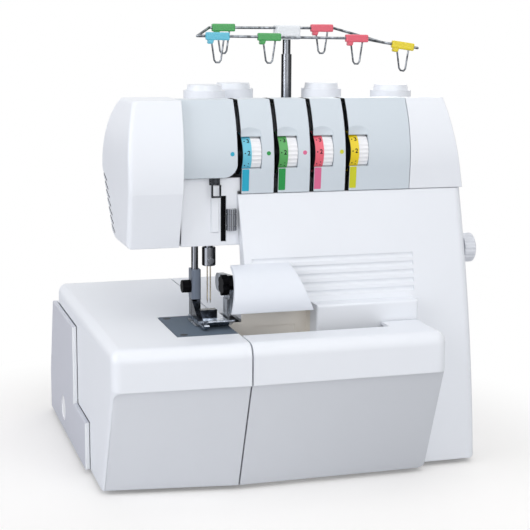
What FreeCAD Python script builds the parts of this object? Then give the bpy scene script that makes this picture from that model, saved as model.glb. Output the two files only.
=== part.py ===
import FreeCAD, Part
import functools
import math
import os

# Overlock sewing machine, in millimetres. Sizes run from the left side panel (x), the front lip (y)
# and the table (z). Each piece is moved at the end so that the origin lies on the table, under the
# middle of the footprint.

V = FreeCAD.Vector

# Overall
BODY_W = 320.5          # left side panel to the column's right face, at the foot
WHEEL_OUT = 15.5        # how far the handwheel stands out of the right face
DEPTH = 300.0           # front lip to rear wall
TOP_Z = 303.0           # table to the top of the head
FOOT_H = 4.0            # height of the rubber feet
FEET_INSET = 26.0
FEET_LOW_R = 8.0
FEET_TOP_R = 9.0
WALL = 2.5              # moulded cover wall
SEAM = 0.5              # seam between two covers
SEAT = 0.2              # gap between pieces that are screwed together
RUN = 0.05              # radial clearance of a running fit
COVER_PLAY = 0.6        # clearance around a hole that a moving piece passes through

# Bed and front covers
BED_TOP = 126.3
BED_X0 = 4.0            # left face of the bed cover
BED_BACK_IN = 28.0      # bed's rear edge, in front of the rear wall
BED_REAR = DEPTH - BED_BACK_IN
BED_EDGE_R = 8.0        # rounding of the bed's left edges
LIP_LOW = 94.7          # lower edge of the front lip
LIP_R = 10.0
SKIRT_IN = 34.0         # how far the skirt below the lip leans in at the foot
SWEEP_LIP = 5.4         # how far the bed cover's lip falls back at its left end
SWEEP_FOOT = 16.0       # the same at the foot
RECESS = 3.0            # depth of the skirt panel
RECESS_RIM = 2.0        # rim at the skirt panel's left end
RECESS_R = 6.0
SPLIT_X = 110.0         # split between bed cover and looper cover
SPLIT_GAP = 1.2
LOOPER_END = 51.1       # looper cover's right end, from the right face
LOOPER_X1 = BODY_W - LOOPER_END
LOOPER_DEPTH = 48.0     # looper cover's top at its right end
LOOPER_MOUTH_Y = 31.0   # rear edge of its top over the looper mouth
LOOPER_MOUTH_X = 232.0
LOOPER_EDGE_R = 8.0
LOOPER_FOOT_R = 8.0     # rounded lower corner at the right
HINGE_Y = 43.0
HINGE_Z = 14.0
HINGE_R = 3.0
HINGE_LUG_R = 5.0
HINGE_LUG_W = 4.0
TRAY_T = 3.0
TRAY_BACK = 6.0         # bottom pan behind the looper cover

# Left side panel
PANEL_T = 3.6
PANEL_TOP = 110.0
PANEL_UP_Y = 164.0      # front edge of its upper part
PANEL_LOW_Y = 106.0     # front edge of its lower part
PANEL_STEP_Z = 43.5
PANEL_EDGE_R = 1.2
GRIP_R = 11.0           # round dimple low in the panel
GRIP_DEEP = 0.9
GRIP_Y = 222.0
GRIP_Z = 24.0
REAR_BEND_Z = 40.0      # the rear wall leans in above this height
REAR_LEAN = 23.0        # lean of the rear wall up to the side panel's top
REAR_TOP_Y = DEPTH - REAR_LEAN

# Column
COLUMN_X0 = 120.3       # left edge at the top
COLUMN_LEAN_X = 124.5   # left edge at the looper mouth
COLUMN_TOP = 229.6
COLUMN_MID_IN = 2.7     # lean of the right face half way up
COLUMN_TOP_IN = 6.5     # the same at the column's top
COLUMN_MID_X = BODY_W - COLUMN_MID_IN
COLUMN_TOP_X = BODY_W - COLUMN_TOP_IN
COLUMN_FOOT_Y = 49.0
COLUMN_MID = (62.0, 130.0)
COLUMN_TOP_Y = 80.0
COLUMN_BACK_Y = 150.0   # seam between column cover and rear cover
COLUMN_EDGE_R = 7.0
COLUMN_FOOT_R = 5.0     # rounded lower corner at the right
MOUTH_X1 = 177.5        # right end of the looper mouth
MOUTH_TOP = 142.4
LEDGE_END = 55.5        # ledge's right end, from the right face
LEDGE_X1 = BODY_W - LEDGE_END
LEDGE_Y = 50.0
LEDGE_LOW = 60.0
LEDGE_R = 2.0
RIB_X0 = 129.3
RIB_END = 53.5
RIB_X1 = BODY_W - RIB_END
RIB_COUNT = 5
RIB_PITCH = 6.8
RIB_TOP_Z = 176.5
RIB_H = 2.2
RIB_DEEP = 1.2
THROAT_X = 170.0        # right wall of the sewing space
THROAT_Y = 100.0
THROAT_BEND_Y = 214.0   # behind this the wall slants to the right
THROAT_REAR_X = 194.0

# Tension panel and dials
PANEL_X0 = 74.8         # left edge below
PANEL_TOP_X0 = 77.0     # left edge at the top
PANEL_END = 54.5        # right edge, from the right face
PANEL_X1 = BODY_W - PANEL_END
PANEL_FOOT_Y = 79.0
PANEL_BULGE = (77.5, 249.5)
PANEL_MID = (80.5, 277.0)
PANEL_TOP_Y = 92.0
PANEL_THICK = 3.0
PANEL_LEFT_Z = 242.6    # lower edge of the part left of the first slot
PANEL_LEFT_R = 11.0
SLOT_X = 121.3
SLOT_PITCH = 30.1
SLOT_W = 3.4
SLOT_TOP_Y = 112.0
DIAL_COUNT = 4
DIAL_R = 16.5
DIAL_W = 15.4
DIAL_BAND = 7.4         # smooth coloured band at the left of a dial
DIAL_Y = 93.2
DIAL_Z = 260.3
DIAL_FLUTES = 30
DIAL_FLUTE_DEEP = 0.5
DIAL_AXLE_R = 3.0
WINDOW_LOW = 249.4
WINDOW_TOP = 274.3
SCOOP_DEEP = 1.6

# Head and arm
FACE_X0 = 31.0
FACE_X1 = 76.4          # right edge at the top
FACE_LOW_X1 = 72.6      # right edge at the chin
FACE_TOP_X0 = 38.0      # left face at the top
FACE_LEAN_Z = 252.0     # the left face starts to roll in here
FACE_LOW_Y = 80.0
HEAD_LOW = 188.4
FACE_CREASE = (70.0, 232.0)
FACE_MID = (72.5, 268.0)
FACE_TOP_Y = 86.0
FACE_BACK_TOP_Y = 136.0
FACE_BACK_MID = (170.0, 281.0)
FACE_BACK = (186.0, 243.0)
FACE_CHIN = (166.0, 219.0)
FACE_CHIN_LOW = (142.0, 191.5)
FACE_LOW_BACK_Y = 130.0
FACE_EDGE_R = 4.0
LOUVRE_COUNT = 8
LOUVRE_W = 2.2
LOUVRE_DEEP = 6.0       # reach of a louvre behind the chin
LOUVRE_LEN = 24.0       # reach of a louvre over the left face
LOUVRE_RUN = 16.0
LOUVRE_LEAN = 20.0
LOUVRE_FROM = 0.04      # first louvre, as a share of the chin's length
LOUVRE_STEP = 0.125
ARM_FRONT_Y = 82.0      # front wall of the arm beside the needle bar
ARM_LOW = 188.4
ARM_X0 = 77.0
ARM_REAR_IN = 10.0      # rear wall's top, in front of its foot
ARM_REAR_Y = DEPTH - ARM_REAR_IN
ARM_BACK_Y = 205.0      # back of the arm over the sewing space
ARM_TOP_Y = 104.0
ARM_TOP_REAR_Y = 156.0
ARM_STEP_Y = 8.0        # run of the step from the top to the spool deck
ARM_TOP_REAR_Z = 296.0
DECK_Z = 274.0          # top of the arm under the spool stand
CAP_TOP_IN = 20.5       # lean of the right face at the top of the arm
CAP_TOP_X = BODY_W - CAP_TOP_IN
TAKE_UP_X0 = 107.0
TAKE_UP_W = 4.5
TAKE_UP_LOW = 191.5
TAKE_UP_TOP = 228.0
SLOT_RIB_X0 = 98.9      # raised rib left of the take-up slot
SLOT_RIB_W = 6.6
SLOT_RIB_LOW = 199.0
SLOT_RIB_TOP = 236.5
SLOT_RIB_OUT = 1.4
SLOT_RIB_R = 1.0

# Finger guard
GUARD_T = 2.2
GUARD_LOW = (45.0, 140.0)
GUARD_MID = (50.5, 164.0)
GUARD_TOP_Z = 174.5
GUARD_LOW_X0 = 106.0
GUARD_LOW_X1 = 173.0
GUARD_TOP_X0 = 111.6
GUARD_TOP_X1 = 159.3

# Needle, presser and plate
NEEDLE_X = 99.8
NEEDLE_Y = 92.0
NEEDLE_GAP = 2.5
NEEDLE_R = 0.5
NEEDLE_TIP = 140.0
NEEDLE_POINT = 3.0
NEEDLE_SLOT = 1.6       # room beside a needle in plate
NEEDLE_POINT_R = 0.1
BAR_R = 3.25
BAR_TOP = 268.0
CLAMP_R = 5.5
CLAMP_LOW = 171.0
CLAMP_TOP = 186.0
CLAMP_EDGE_R = 0.8
CLAMP_SCREW_R = 2.4
PRESSER_X = 89.2
PRESSER_Y = 96.0
PRESSER_R = 2.8
PRESSER_TOP = 262.0
BUSH_R = 5.0
BUSH_H = 10.0
HOLDER_W = 7.6
HOLDER_D = 12.0
HOLDER_LOW = 144.0
HOLDER_TOP = 168.0
HOLDER_EDGE_R = 1.5
FOOT_X0 = 85.5
FOOT_X1 = 110.8
FOOT_Y0 = 56.0
FOOT_Y1 = 104.0
FOOT_LOW = 127.4
FOOT_T = 2.0
TOE_RISE = 4.0
TOE_LEN = 8.0
RUNNER_W = 4.0
RUNNER_L = 5.0
BLOCK_H = 8.0
BLOCK_D = 7.0
FOOT_SLOT = 2.0         # room beside the needles in the foot
FOOT_SLOT_Y = 5.0
THUMB_R = 5.2
THUMB_L = 7.0
PLATE_X0 = 61.5
PLATE_Y0 = 38.8
PLATE_Y1 = 110.6
PLATE_T = 2.0
PLATE_R = 3.0           # rounding of the plate's left corners
DECK_BACK = 2.0         # deck behind the plate
PLATE_SCREW_R = 3.2
SLIT = 0.8              # screwdriver slit
FEED_TRAVEL = 1.5
FEED_W = 4.0
FEED_GAP = 6.5
FEED_Y0 = 72.0
FEED_Y1 = 98.0
FEED_PROUD = 0.6
FEED_X0 = 84.0
FEED_LOW = 112.0
FEED_PITCH = 2.0
THUMB_Y = 96.0
THUMB_Z = 154.0
THUMB_STUD_R = 1.8
THUMB_FLUTE = 0.5
THUMB_FLUTES = 12

# Knives
KNIFE_X = 112.2
KNIFE_T = 1.8
KNIFE_ARM_W = 5.2
KNIFE_Y0 = 81.0
KNIFE_Y1 = 94.0
KNIFE_LOW = 127.2
KNIFE_TOP = 144.0
KNIFE_RAKE = 1.5
KNIFE_SHOW = 6.0        # blade below its arm
LOW_KNIFE_H = 14.0
KNIFE_PIVOT_Y = 118.0
KNIFE_PIVOT_Z = 152.0
KNIFE_SHAFT_R = 4.0
KNOB_R = 8.4
KNOB_L = 4.8
KNOB_Y = 88.0
KNOB_Z = 155.0
KNOB_LOBES = 6
KNOB_SCOOP_R = 2.9      # hollow between two lobes
KNOB_SCOOP_DEEP = 1.5
KNOB_STUD_R = 3.0
KNOB_AIR = 0.4          # gap between knob and arm

# Loopers
LOW_LOOPER = (140.0, 56.0)
LOW_LOOPER_ARM = ((-4.0, -5.0), (4.0, 5.0), (-20.0, 42.0), (-40.0, 51.0), (-41.0, 50.0), (-26.0, 38.0))
UP_LOOPER = (158.0, 74.0)
UP_LOOPER_ARM = ((-4.0, -5.0), (4.0, 5.0), (-29.0, 34.0), (-40.0, 45.0), (-41.0, 44.0), (-34.0, 29.0))
LOOPER_HUB_R = 7.0
LOOPER_SHAFT_R = 4.0
LOOPER_T = 3.0
LOW_LOOPER_Y = 86.0
UP_LOOPER_Y = 97.0
LOOPER_WEB_Y = 112.0    # frame web that carries the looper shafts
WEB_T = 8.0
BACKPLATE_Y = 76.0
BACKPLATE_X0 = 112.4    # left end, beside the lower knife
BACKPLATE_LOW_DROP = 0.4  # lower left part, below the bed
RELIEF_IN = 10.0        # border around the pressed panel
RELIEF_DEEP = 1.0

# Drive
SHAFT_Y = 225.0
SHAFT_Z = 92.0
SHAFT_R = 5.0
SHAFT_X0 = 184.0
BEARING_R = 11.0
PULLEY_IN = 22.5        # pulleys' left faces, from the right face
PULLEY_X0 = BODY_W - PULLEY_IN
PULLEY_W = 11.0
PULLEY_R = 28.0
WHEEL_R = 31.0
WHEEL_FLUTES = 18
WHEEL_FLUTE_DEEP = 1.0
WHEEL_RIM = 5.0
MOTOR_X0 = 205.0
MOTOR_GAP = 15.0        # motor's end to the pulleys
MOTOR_L = PULLEY_X0 - MOTOR_GAP - MOTOR_X0
MOTOR_Y = 100.0
MOTOR_Z = 46.0
MOTOR_R = 27.0
MOTOR_NOSE = 8.0        # narrower ends of the motor
MOTOR_STEP = 6.0
MOTOR_FOOT_IN = 12.0
MOTOR_FOOT_W = 10.0
MOTOR_SHAFT_R = 3.0
MOTOR_PULLEY_R = 8.0
BELT_T = 2.0
BELT_SIDE = 0.8         # gap between belt and flange
FLANGE_T = 1.2
WHEEL_FACE = 6.0        # depth of the dish in the handwheel
BEARING_X0 = 188.0
BEARING_END = 42.5      # second bearing, from the right face
BEARING_X = (BEARING_X0, BODY_W - BEARING_END)
BEARING_W = 12.0
BEARING_SEAT = 5.0      # metal around a bearing

# Cast frame
FRAME_X0 = 20.0
FRAME_END = 24.5        # right end, from the right face
FRAME_X1 = BODY_W - FRAME_END
FRAME_Y0 = 64.0
FRAME_BACK_IN = 16.0    # rear edge, from the rear wall
FRAME_Y1 = DEPTH - FRAME_BACK_IN
FRAME_BASE_T = 6.0
CAST_X0 = 222.0
CAST_X1 = 252.0
CAST_Y0 = 130.0
CAST_Y1 = 204.0
BEAM_LOW = 204.0
BEAM_TOP = 236.0
BEAM_Y0 = 124.0
BEAM_Y1 = 164.0
HEAD_X0 = 82.0
HEAD_X1 = 116.0
HEAD_Y0 = 85.0
WEB_X0 = 62.0
RAIL_W = 7.0
TONGUE_T = 4.0
SPRING_TOP = 256.0
SPRING_WIRE_R = 0.8
SPRING_PITCH = 3.2
CAP_T = 4.0
AXLE_X0 = 108.0
AXLE_X = (AXLE_X0, SLOT_X + DIAL_COUNT * SLOT_PITCH - SLOT_W / 2)
AXLE_LUG = 8.0
KNIFE_BEARING_X = 186.0
LIFTER_X = 98.0
LIFTER_Z = 224.0
LIFTER_R = 4.0
LIFTER_BOSS = 9.0
LEVER_T = 4.0
LEVER_L = 30.0

# Controls on the right side
KNOB_DIFF_R = 12.3
KNOB_STEM_R = 5.0
KNOB_DIFF_LOBES = 14
KNOB_DIFF_SCOOP_R = 2.4
KNOB_DIFF_SCOOP_DEEP = 0.6
KNOB_DIFF_EDGE_R = 1.0
KNOB_DIFF_OUT = 10.0
KNOB_DIFF_Y = 87.0
KNOB_DIFF_Z = 177.0
CONTROL_IN = 28.0       # switch and inlet, in front of the rear wall
CONTROL_Y = DEPTH - CONTROL_IN
INLET_Z = 34.0
INLET_W = 34.0
INLET_H = 22.0
INLET_WALL = 4.0
INLET_DEEP = 16.0
INLET_PIN_R = 1.6
INLET_PIN_GAP = 10.0
INLET_PIN_IN = 5.0      # pins end behind the face
SWITCH_Z = 64.0
SWITCH_W = 20.0
SWITCH_H = 14.0
SWITCH_PLAY = 1.0
SWITCH_OUT = 3.4        # raised ends of the rocker, from its stud
SWITCH_DIP = 1.6
SWITCH_STUD_R = 0.7

# Spool stand and thread guides
EYE_X = 98.5
EYE_Z = 228.0
EYE_W = 6.5
EYE_H = 11.0
EYE_OUT = 6.0
BARREL_X = 115.2        # barrel guide right of the take-up slot
BARREL_Y = 80.4
BARREL_R = 4.2
BARREL_LOW = 200.6
BARREL_H = 17.0
BARREL_GROOVE = 0.7
BARREL_CAP = 3.4        # height of each end, above and below the grooves
STAND_T = 4.0
STAND_CORNER_R = 14.0
STAND_X0 = 96.0
STAND_END = 15.5        # right edge, from the right face
STAND_X1 = BODY_W - STAND_END
STAND_Y0 = 166.0
STAND_Y1 = 274.0
SPOOL_IN = 9.0          # last spool, from the stand's right edge
SPOOLS = ((128.0, 215.0), (163.0, 247.0), (244.0, 236.0), (STAND_X1 - SPOOL_IN, 196.0))
PIN_R = 3.0
HOLDER_FLANGE_R = 18.3
HOLDER_CAP_R = 15.8
HOLDER_STEM_R = 9.0
HOLDER_CAP_T = 2.0
SPOOL_TOP = 309.0
SPOOL_STEP = 304.0
SPOOL_FLANGE_H = 16.0
POST_X = 209.0
POST_Y = 232.0
POST_R = 4.7
POST_WALL = 1.0
POST_LOW = 140.0
POST_TOP = 335.0
POST_IN_LOW = 152.0
POST_IN_TOP = 354.0
GUIDE_W = 22.0
GUIDE_D = 14.0
HOLDER_GRIP = 6.0
RAIL_R = 1.2
RAIL_LEFT = (121.5, 214.0, 351.0)
RAIL_REAR_L = (137.0, 232.0, 358.2)
RAIL_REAR_R = (254.0, 232.0, 358.2)
RAIL_JOIN = (296.0, 214.0, 345.6)
RAIL_RIGHT = (327.5, 210.4, 340.92)
RAIL_FRONT = (272.0, 206.0, 349.4)
RAIL_FRONT_L = (132.0, 206.0, 351.0)
CLIP_L = 21.0
CLIP_W = 5.6
CLIP_H = 6.8
CLIP_EDGE_R = 1.2
HOOK_R = 0.8
HOOK_W = 12.0
HOOK_BOTTOM_W = 6.0
HOOK_DROP = 22.5
HOOK_BEND = 2.0

WIDTH = BODY_W + WHEEL_OUT
ORIGIN = V(WIDTH / 2, DEPTH / 2, 0)
BED_X1 = SPLIT_X - SPLIT_GAP / 2
LOOPER_X0 = SPLIT_X + SPLIT_GAP / 2
TRAY_TOP = FOOT_H + TRAY_T
FAR = 1000.0


# Plain shapes

def box(x0, x1, y0, y1, z0, z1):
    return Part.makeBox(x1 - x0, y1 - y0, z1 - z0, V(x0, y0, z0))


def rod_x(x0, x1, y, z, r):
    return Part.makeCylinder(r, x1 - x0, V(x0, y, z), V(1, 0, 0))


def rod_y(x, y0, y1, z, r):
    return Part.makeCylinder(r, y1 - y0, V(x, y0, z), V(0, 1, 0))


def rod_z(x, y, z0, z1, r):
    return Part.makeCylinder(r, z1 - z0, V(x, y, z0), V(0, 0, 1))


def bar(start, end, r):
    line = end - start
    return Part.makeCylinder(r, line.Length, start, line)


def outline_wire(steps):
    """Closed wire from points; a pair of points in the list is an arc through the first to the second."""
    edges = []
    here = steps[0]
    for step in steps[1:] + steps[:1]:
        if isinstance(step, tuple):
            edges.append(Part.Arc(here, step[0], step[1]).toShape())
            here = step[1]
        else:
            edges.append(Part.makeLine(here, step))
            here = step
    return Part.Wire(edges)


def outline(steps):
    return Part.Face(outline_wire(steps))


def at_x(x, points):
    """Points (y, z) on a plane across x; nested pairs stay arcs."""
    placed = []
    for point in points:
        if isinstance(point[0], tuple):
            placed.append(tuple(V(x, *p) for p in point))
        else:
            placed.append(V(x, *point))
    return placed


def prism_x(points, x0, x1):
    return outline(at_x(x0, points)).extrude(V(x1 - x0, 0, 0))


def loft_x(points0, x0, points1, x1):
    """Solid with straight lines between two outlines across x."""
    return Part.makeLoft([outline_wire(at_x(x0, points0)), outline_wire(at_x(x1, points1))], True, True)


def prism_y(points, y0, y1):
    placed = []
    for point in points:
        if isinstance(point[0], tuple):
            placed.append(tuple(V(p[0], y0, p[1]) for p in point))
        else:
            placed.append(V(point[0], y0, point[1]))
    return outline(placed).extrude(V(0, y1 - y0, 0))


def prism_z(points, z0, z1):
    ring = [V(x, y, z0) for x, y in points + points[:1]]
    return Part.Face(Part.makePolygon(ring)).extrude(V(0, 0, z1 - z0))


def fused(shapes):
    return shapes[0].multiFuse(shapes[1:]).removeSplitter()


def round_edges(shape, radius, chosen):
    """Fillet the edges whose middle point passes the test."""
    edges = [e for e in shape.Edges if chosen(e.CenterOfMass, e)]
    return shape.makeFillet(radius, edges)


def arc_y(low, mid, high, z):
    """Y at height z on the arc through three (y, z) points."""
    circle = Part.Arc(V(low[0], low[1], 0), V(mid[0], mid[1], 0), V(high[0], high[1], 0))
    line = Part.makeLine(V(-FAR, z, 0), V(FAR, z, 0))
    return circle.toShape().distToShape(line)[1][0][0].x


def column_y(z):
    return arc_y((COLUMN_FOOT_Y, FOOT_H), COLUMN_MID, (COLUMN_TOP_Y, COLUMN_TOP), z)


def fluted(radius, depth, flutes, x0, x1, y, z):
    """Wheel across x with a wavy rim."""
    points = []
    for i in range(2 * flutes):
        angle = math.pi * i / flutes
        r = radius - depth * (i % 2)
        points.append((y + r * math.cos(angle), z + r * math.sin(angle)))
    return prism_x(points, x0, x1)


# Bed cover, looper cover and the other casings

def sweep_at(x):
    """Share of the bed cover's sweep at x: none at the split, all at the left end."""
    return (BED_X1 - x) / (BED_X1 - BED_X0)


def lip_profile(inset, top_inset, rear, low, sweep):
    """Side outline (y, z) of the bed and looper covers: skirt, lip, rounded edge and flat top."""
    top = BED_TOP - top_inset
    r = LIP_R - inset
    cut = r * (1 - math.sqrt(0.5))
    lip_y = inset + sweep * SWEEP_LIP
    foot_in = SKIRT_IN + sweep * (SWEEP_FOOT - SWEEP_LIP)
    foot_y = lip_y + foot_in * (LIP_LOW - low) / (LIP_LOW - FOOT_H)
    return [(foot_y, low), (lip_y, LIP_LOW), (lip_y, top - r), ((lip_y + cut, top - cut), (lip_y + r, top)),
            (rear, top), (rear, low)]


def skirt_strip(sweep):
    """Outline (y, z) of what is pressed into the skirt."""
    low = FOOT_H - 1
    foot = lip_profile(RECESS, RECESS, FAR, low, sweep)
    lip_y = foot[1][0]
    top = LIP_LOW - SEAM
    return [(-FAR, low), foot[0], (lip_y, top), (-FAR, top)]


def skirt_recess(x0, x1, sweep0, sweep1):
    """Shallow panel pressed into the skirt, with rounded upper corners."""
    strip = loft_x(skirt_strip(sweep0), x0, skirt_strip(sweep1), x1)
    top = LIP_LOW - SEAM
    low = FOOT_H - 1
    r = RECESS_R
    c = r * (1 - math.sqrt(0.5))
    window = prism_y([(x0, low), (x0, top - r), ((x0 + c, top - c), (x0 + r, top)), (x1 - r, top),
                      ((x1 - c, top - c), (x1, top - r)), (x1, low)], -FAR, FAR)
    return strip.common(window)


def bed_block(inset, top_inset, rear, low, x0, x1):
    return loft_x(lip_profile(inset, top_inset, rear, low, sweep_at(x0)), x0,
                  lip_profile(inset, top_inset, rear, low, sweep_at(x1)), x1)


def bed_cover():
    outer = bed_block(0, 0, BED_REAR, FOOT_H, BED_X0, BED_X1)
    outer = round_edges(outer, BED_EDGE_R, lambda c, e: abs(c.x - BED_X0) < 0.01 and c.z > FOOT_H + 1)
    inner_x0 = BED_X0 + WALL
    inner = bed_block(WALL + RECESS, WALL, BED_REAR - WALL, FOOT_H - 1, inner_x0, BED_X1 + 1)
    inner = round_edges(inner, BED_EDGE_R - WALL, lambda c, e: abs(c.x - inner_x0) < 0.01 and c.z > FOOT_H)
    shell = outer.cut(inner)
    rim_x = BED_X0 + RECESS_RIM
    end_x = BED_X1 + RECESS_R + 1
    shell = shell.cut(skirt_recess(rim_x, end_x, sweep_at(rim_x), sweep_at(end_x)))
    behind = box(-1, SPLIT_X, PANEL_UP_Y - SEAM, FAR, 0, PANEL_TOP + SEAM)
    below = box(-1, BED_X0 + WALL + 1, PANEL_LOW_Y - SEAM, FAR, 0, PANEL_STEP_Z + SEAM)
    plate = box(PLATE_X0 - SEAM, FAR, PLATE_Y0 - SEAM, PLATE_Y1 + SEAM, PANEL_TOP, FAR)
    return shell.cut(behind).cut(below).cut(plate)


def foot_corner(x1, r):
    """What is cut off to round the lower right corner of a casing that ends at x1."""
    corner = box(x1 - r, FAR, -1, FAR, 0, FOOT_H + r)
    return corner.cut(rod_y(x1 - r, -2, FAR + 1, FOOT_H + r, r))


def looper_cover():
    outer = prism_x(lip_profile(0, 0, LOOPER_DEPTH, FOOT_H, 0), LOOPER_X0, LOOPER_X1)
    rear = LOOPER_DEPTH - 1
    outer = round_edges(outer, LOOPER_EDGE_R,
                        lambda c, e: abs(c.x - LOOPER_X1) < 0.01 and c.z > FOOT_H + 1 and c.y < rear)
    inner = prism_x(lip_profile(WALL + RECESS, WALL, LOOPER_DEPTH + 1, FOOT_H - 1, 0), LOOPER_X0 + WALL,
                    LOOPER_X1 - WALL)
    shell = outer.cut(inner)
    shell = shell.cut(skirt_recess(LOOPER_X0 - RECESS_R - 1, LOOPER_X1 + RECESS_R + 1, 0, 0))
    shell = shell.cut(foot_corner(LOOPER_X1, LOOPER_FOOT_R))
    shell = shell.cut(box(LOOPER_X0 - 1, LOOPER_MOUTH_X, LOOPER_MOUTH_Y, FAR, BED_TOP - WALL - 1, FAR))
    pins = []
    pin_l = HINGE_LUG_W + 2 * SEAM
    for x0 in (LOOPER_X0 + WALL, LOOPER_X1 - WALL - pin_l):
        pins.append(rod_x(x0, x0 + pin_l, HINGE_Y, HINGE_Z, HINGE_R))
    return fused([shell] + pins)


def base_tray():
    """Bottom pan with the two hinge lugs of the looper cover."""
    front = LOOPER_DEPTH + TRAY_BACK
    left = PANEL_T + SEAT
    bed_left = BED_X0 + WALL + SEAM
    right = BODY_W - WALL - SEAT
    rear = DEPTH - WALL - SEAT
    corner = BED_EDGE_R
    step_y = PANEL_LOW_Y + 1
    floor = prism_z([(bed_left + corner, front), (right, front), (right, rear), (left, rear), (left, step_y),
                     (bed_left, step_y), (bed_left, front + corner)], FOOT_H, TRAY_TOP)
    pieces = [floor]
    for x in (LOOPER_X0 + WALL + SEAM, LOOPER_X1 - WALL - SEAM - HINGE_LUG_W):
        x1 = x + HINGE_LUG_W
        lug = fused([rod_x(x, x1, HINGE_Y, HINGE_Z, HINGE_LUG_R),
                     box(x, x1, HINGE_Y, front + WALL, HINGE_Z - 2, HINGE_Z + HINGE_LUG_R),
                     box(x, x1, front, front + WALL, FOOT_H, HINGE_Z + HINGE_LUG_R)])
        pieces.append(lug.cut(rod_x(x - 1, x1 + 1, HINGE_Y, HINGE_Z, HINGE_R + RUN)))
    return fused(pieces)


def rubber_feet():
    y0 = LOOPER_DEPTH + FEET_INSET
    x0 = BED_X0 + FEET_INSET
    x1 = BODY_W - FEET_INSET
    y1 = DEPTH - FEET_INSET
    places = ((x0, y0), (x1, y0), (x0, y1), (x1, y1))
    feet = [Part.makeCone(FEET_LOW_R, FEET_TOP_R, FOOT_H, V(x, y, 0)) for x, y in places]
    return Part.makeCompound(feet)


def left_side_panel():
    side = [(PANEL_LOW_Y, FOOT_H), (PANEL_LOW_Y, PANEL_STEP_Z), (PANEL_UP_Y, PANEL_STEP_Z),
            (PANEL_UP_Y, PANEL_TOP), (REAR_TOP_Y, PANEL_TOP), (DEPTH, REAR_BEND_Z), (DEPTH, FOOT_H)]
    panel = prism_x(side, 0, PANEL_T)
    panel = round_edges(panel, PANEL_EDGE_R, lambda c, e: c.x < 0.01 and c.z > FOOT_H + 1)
    grip = rod_x(-1, GRIP_DEEP, GRIP_Y, GRIP_Z, GRIP_R)
    return panel.cut(grip)


def throat_plan(inset):
    """Plan outline (x, y) right of the throat wall, which slants away at the back."""
    x0 = THROAT_X + inset
    x1 = THROAT_REAR_X + inset
    return [(x0, THROAT_Y), (x0, THROAT_BEND_Y), (x1, ARM_REAR_Y), (x1, DEPTH), (BODY_W, DEPTH),
            (BODY_W, THROAT_Y)]


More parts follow.
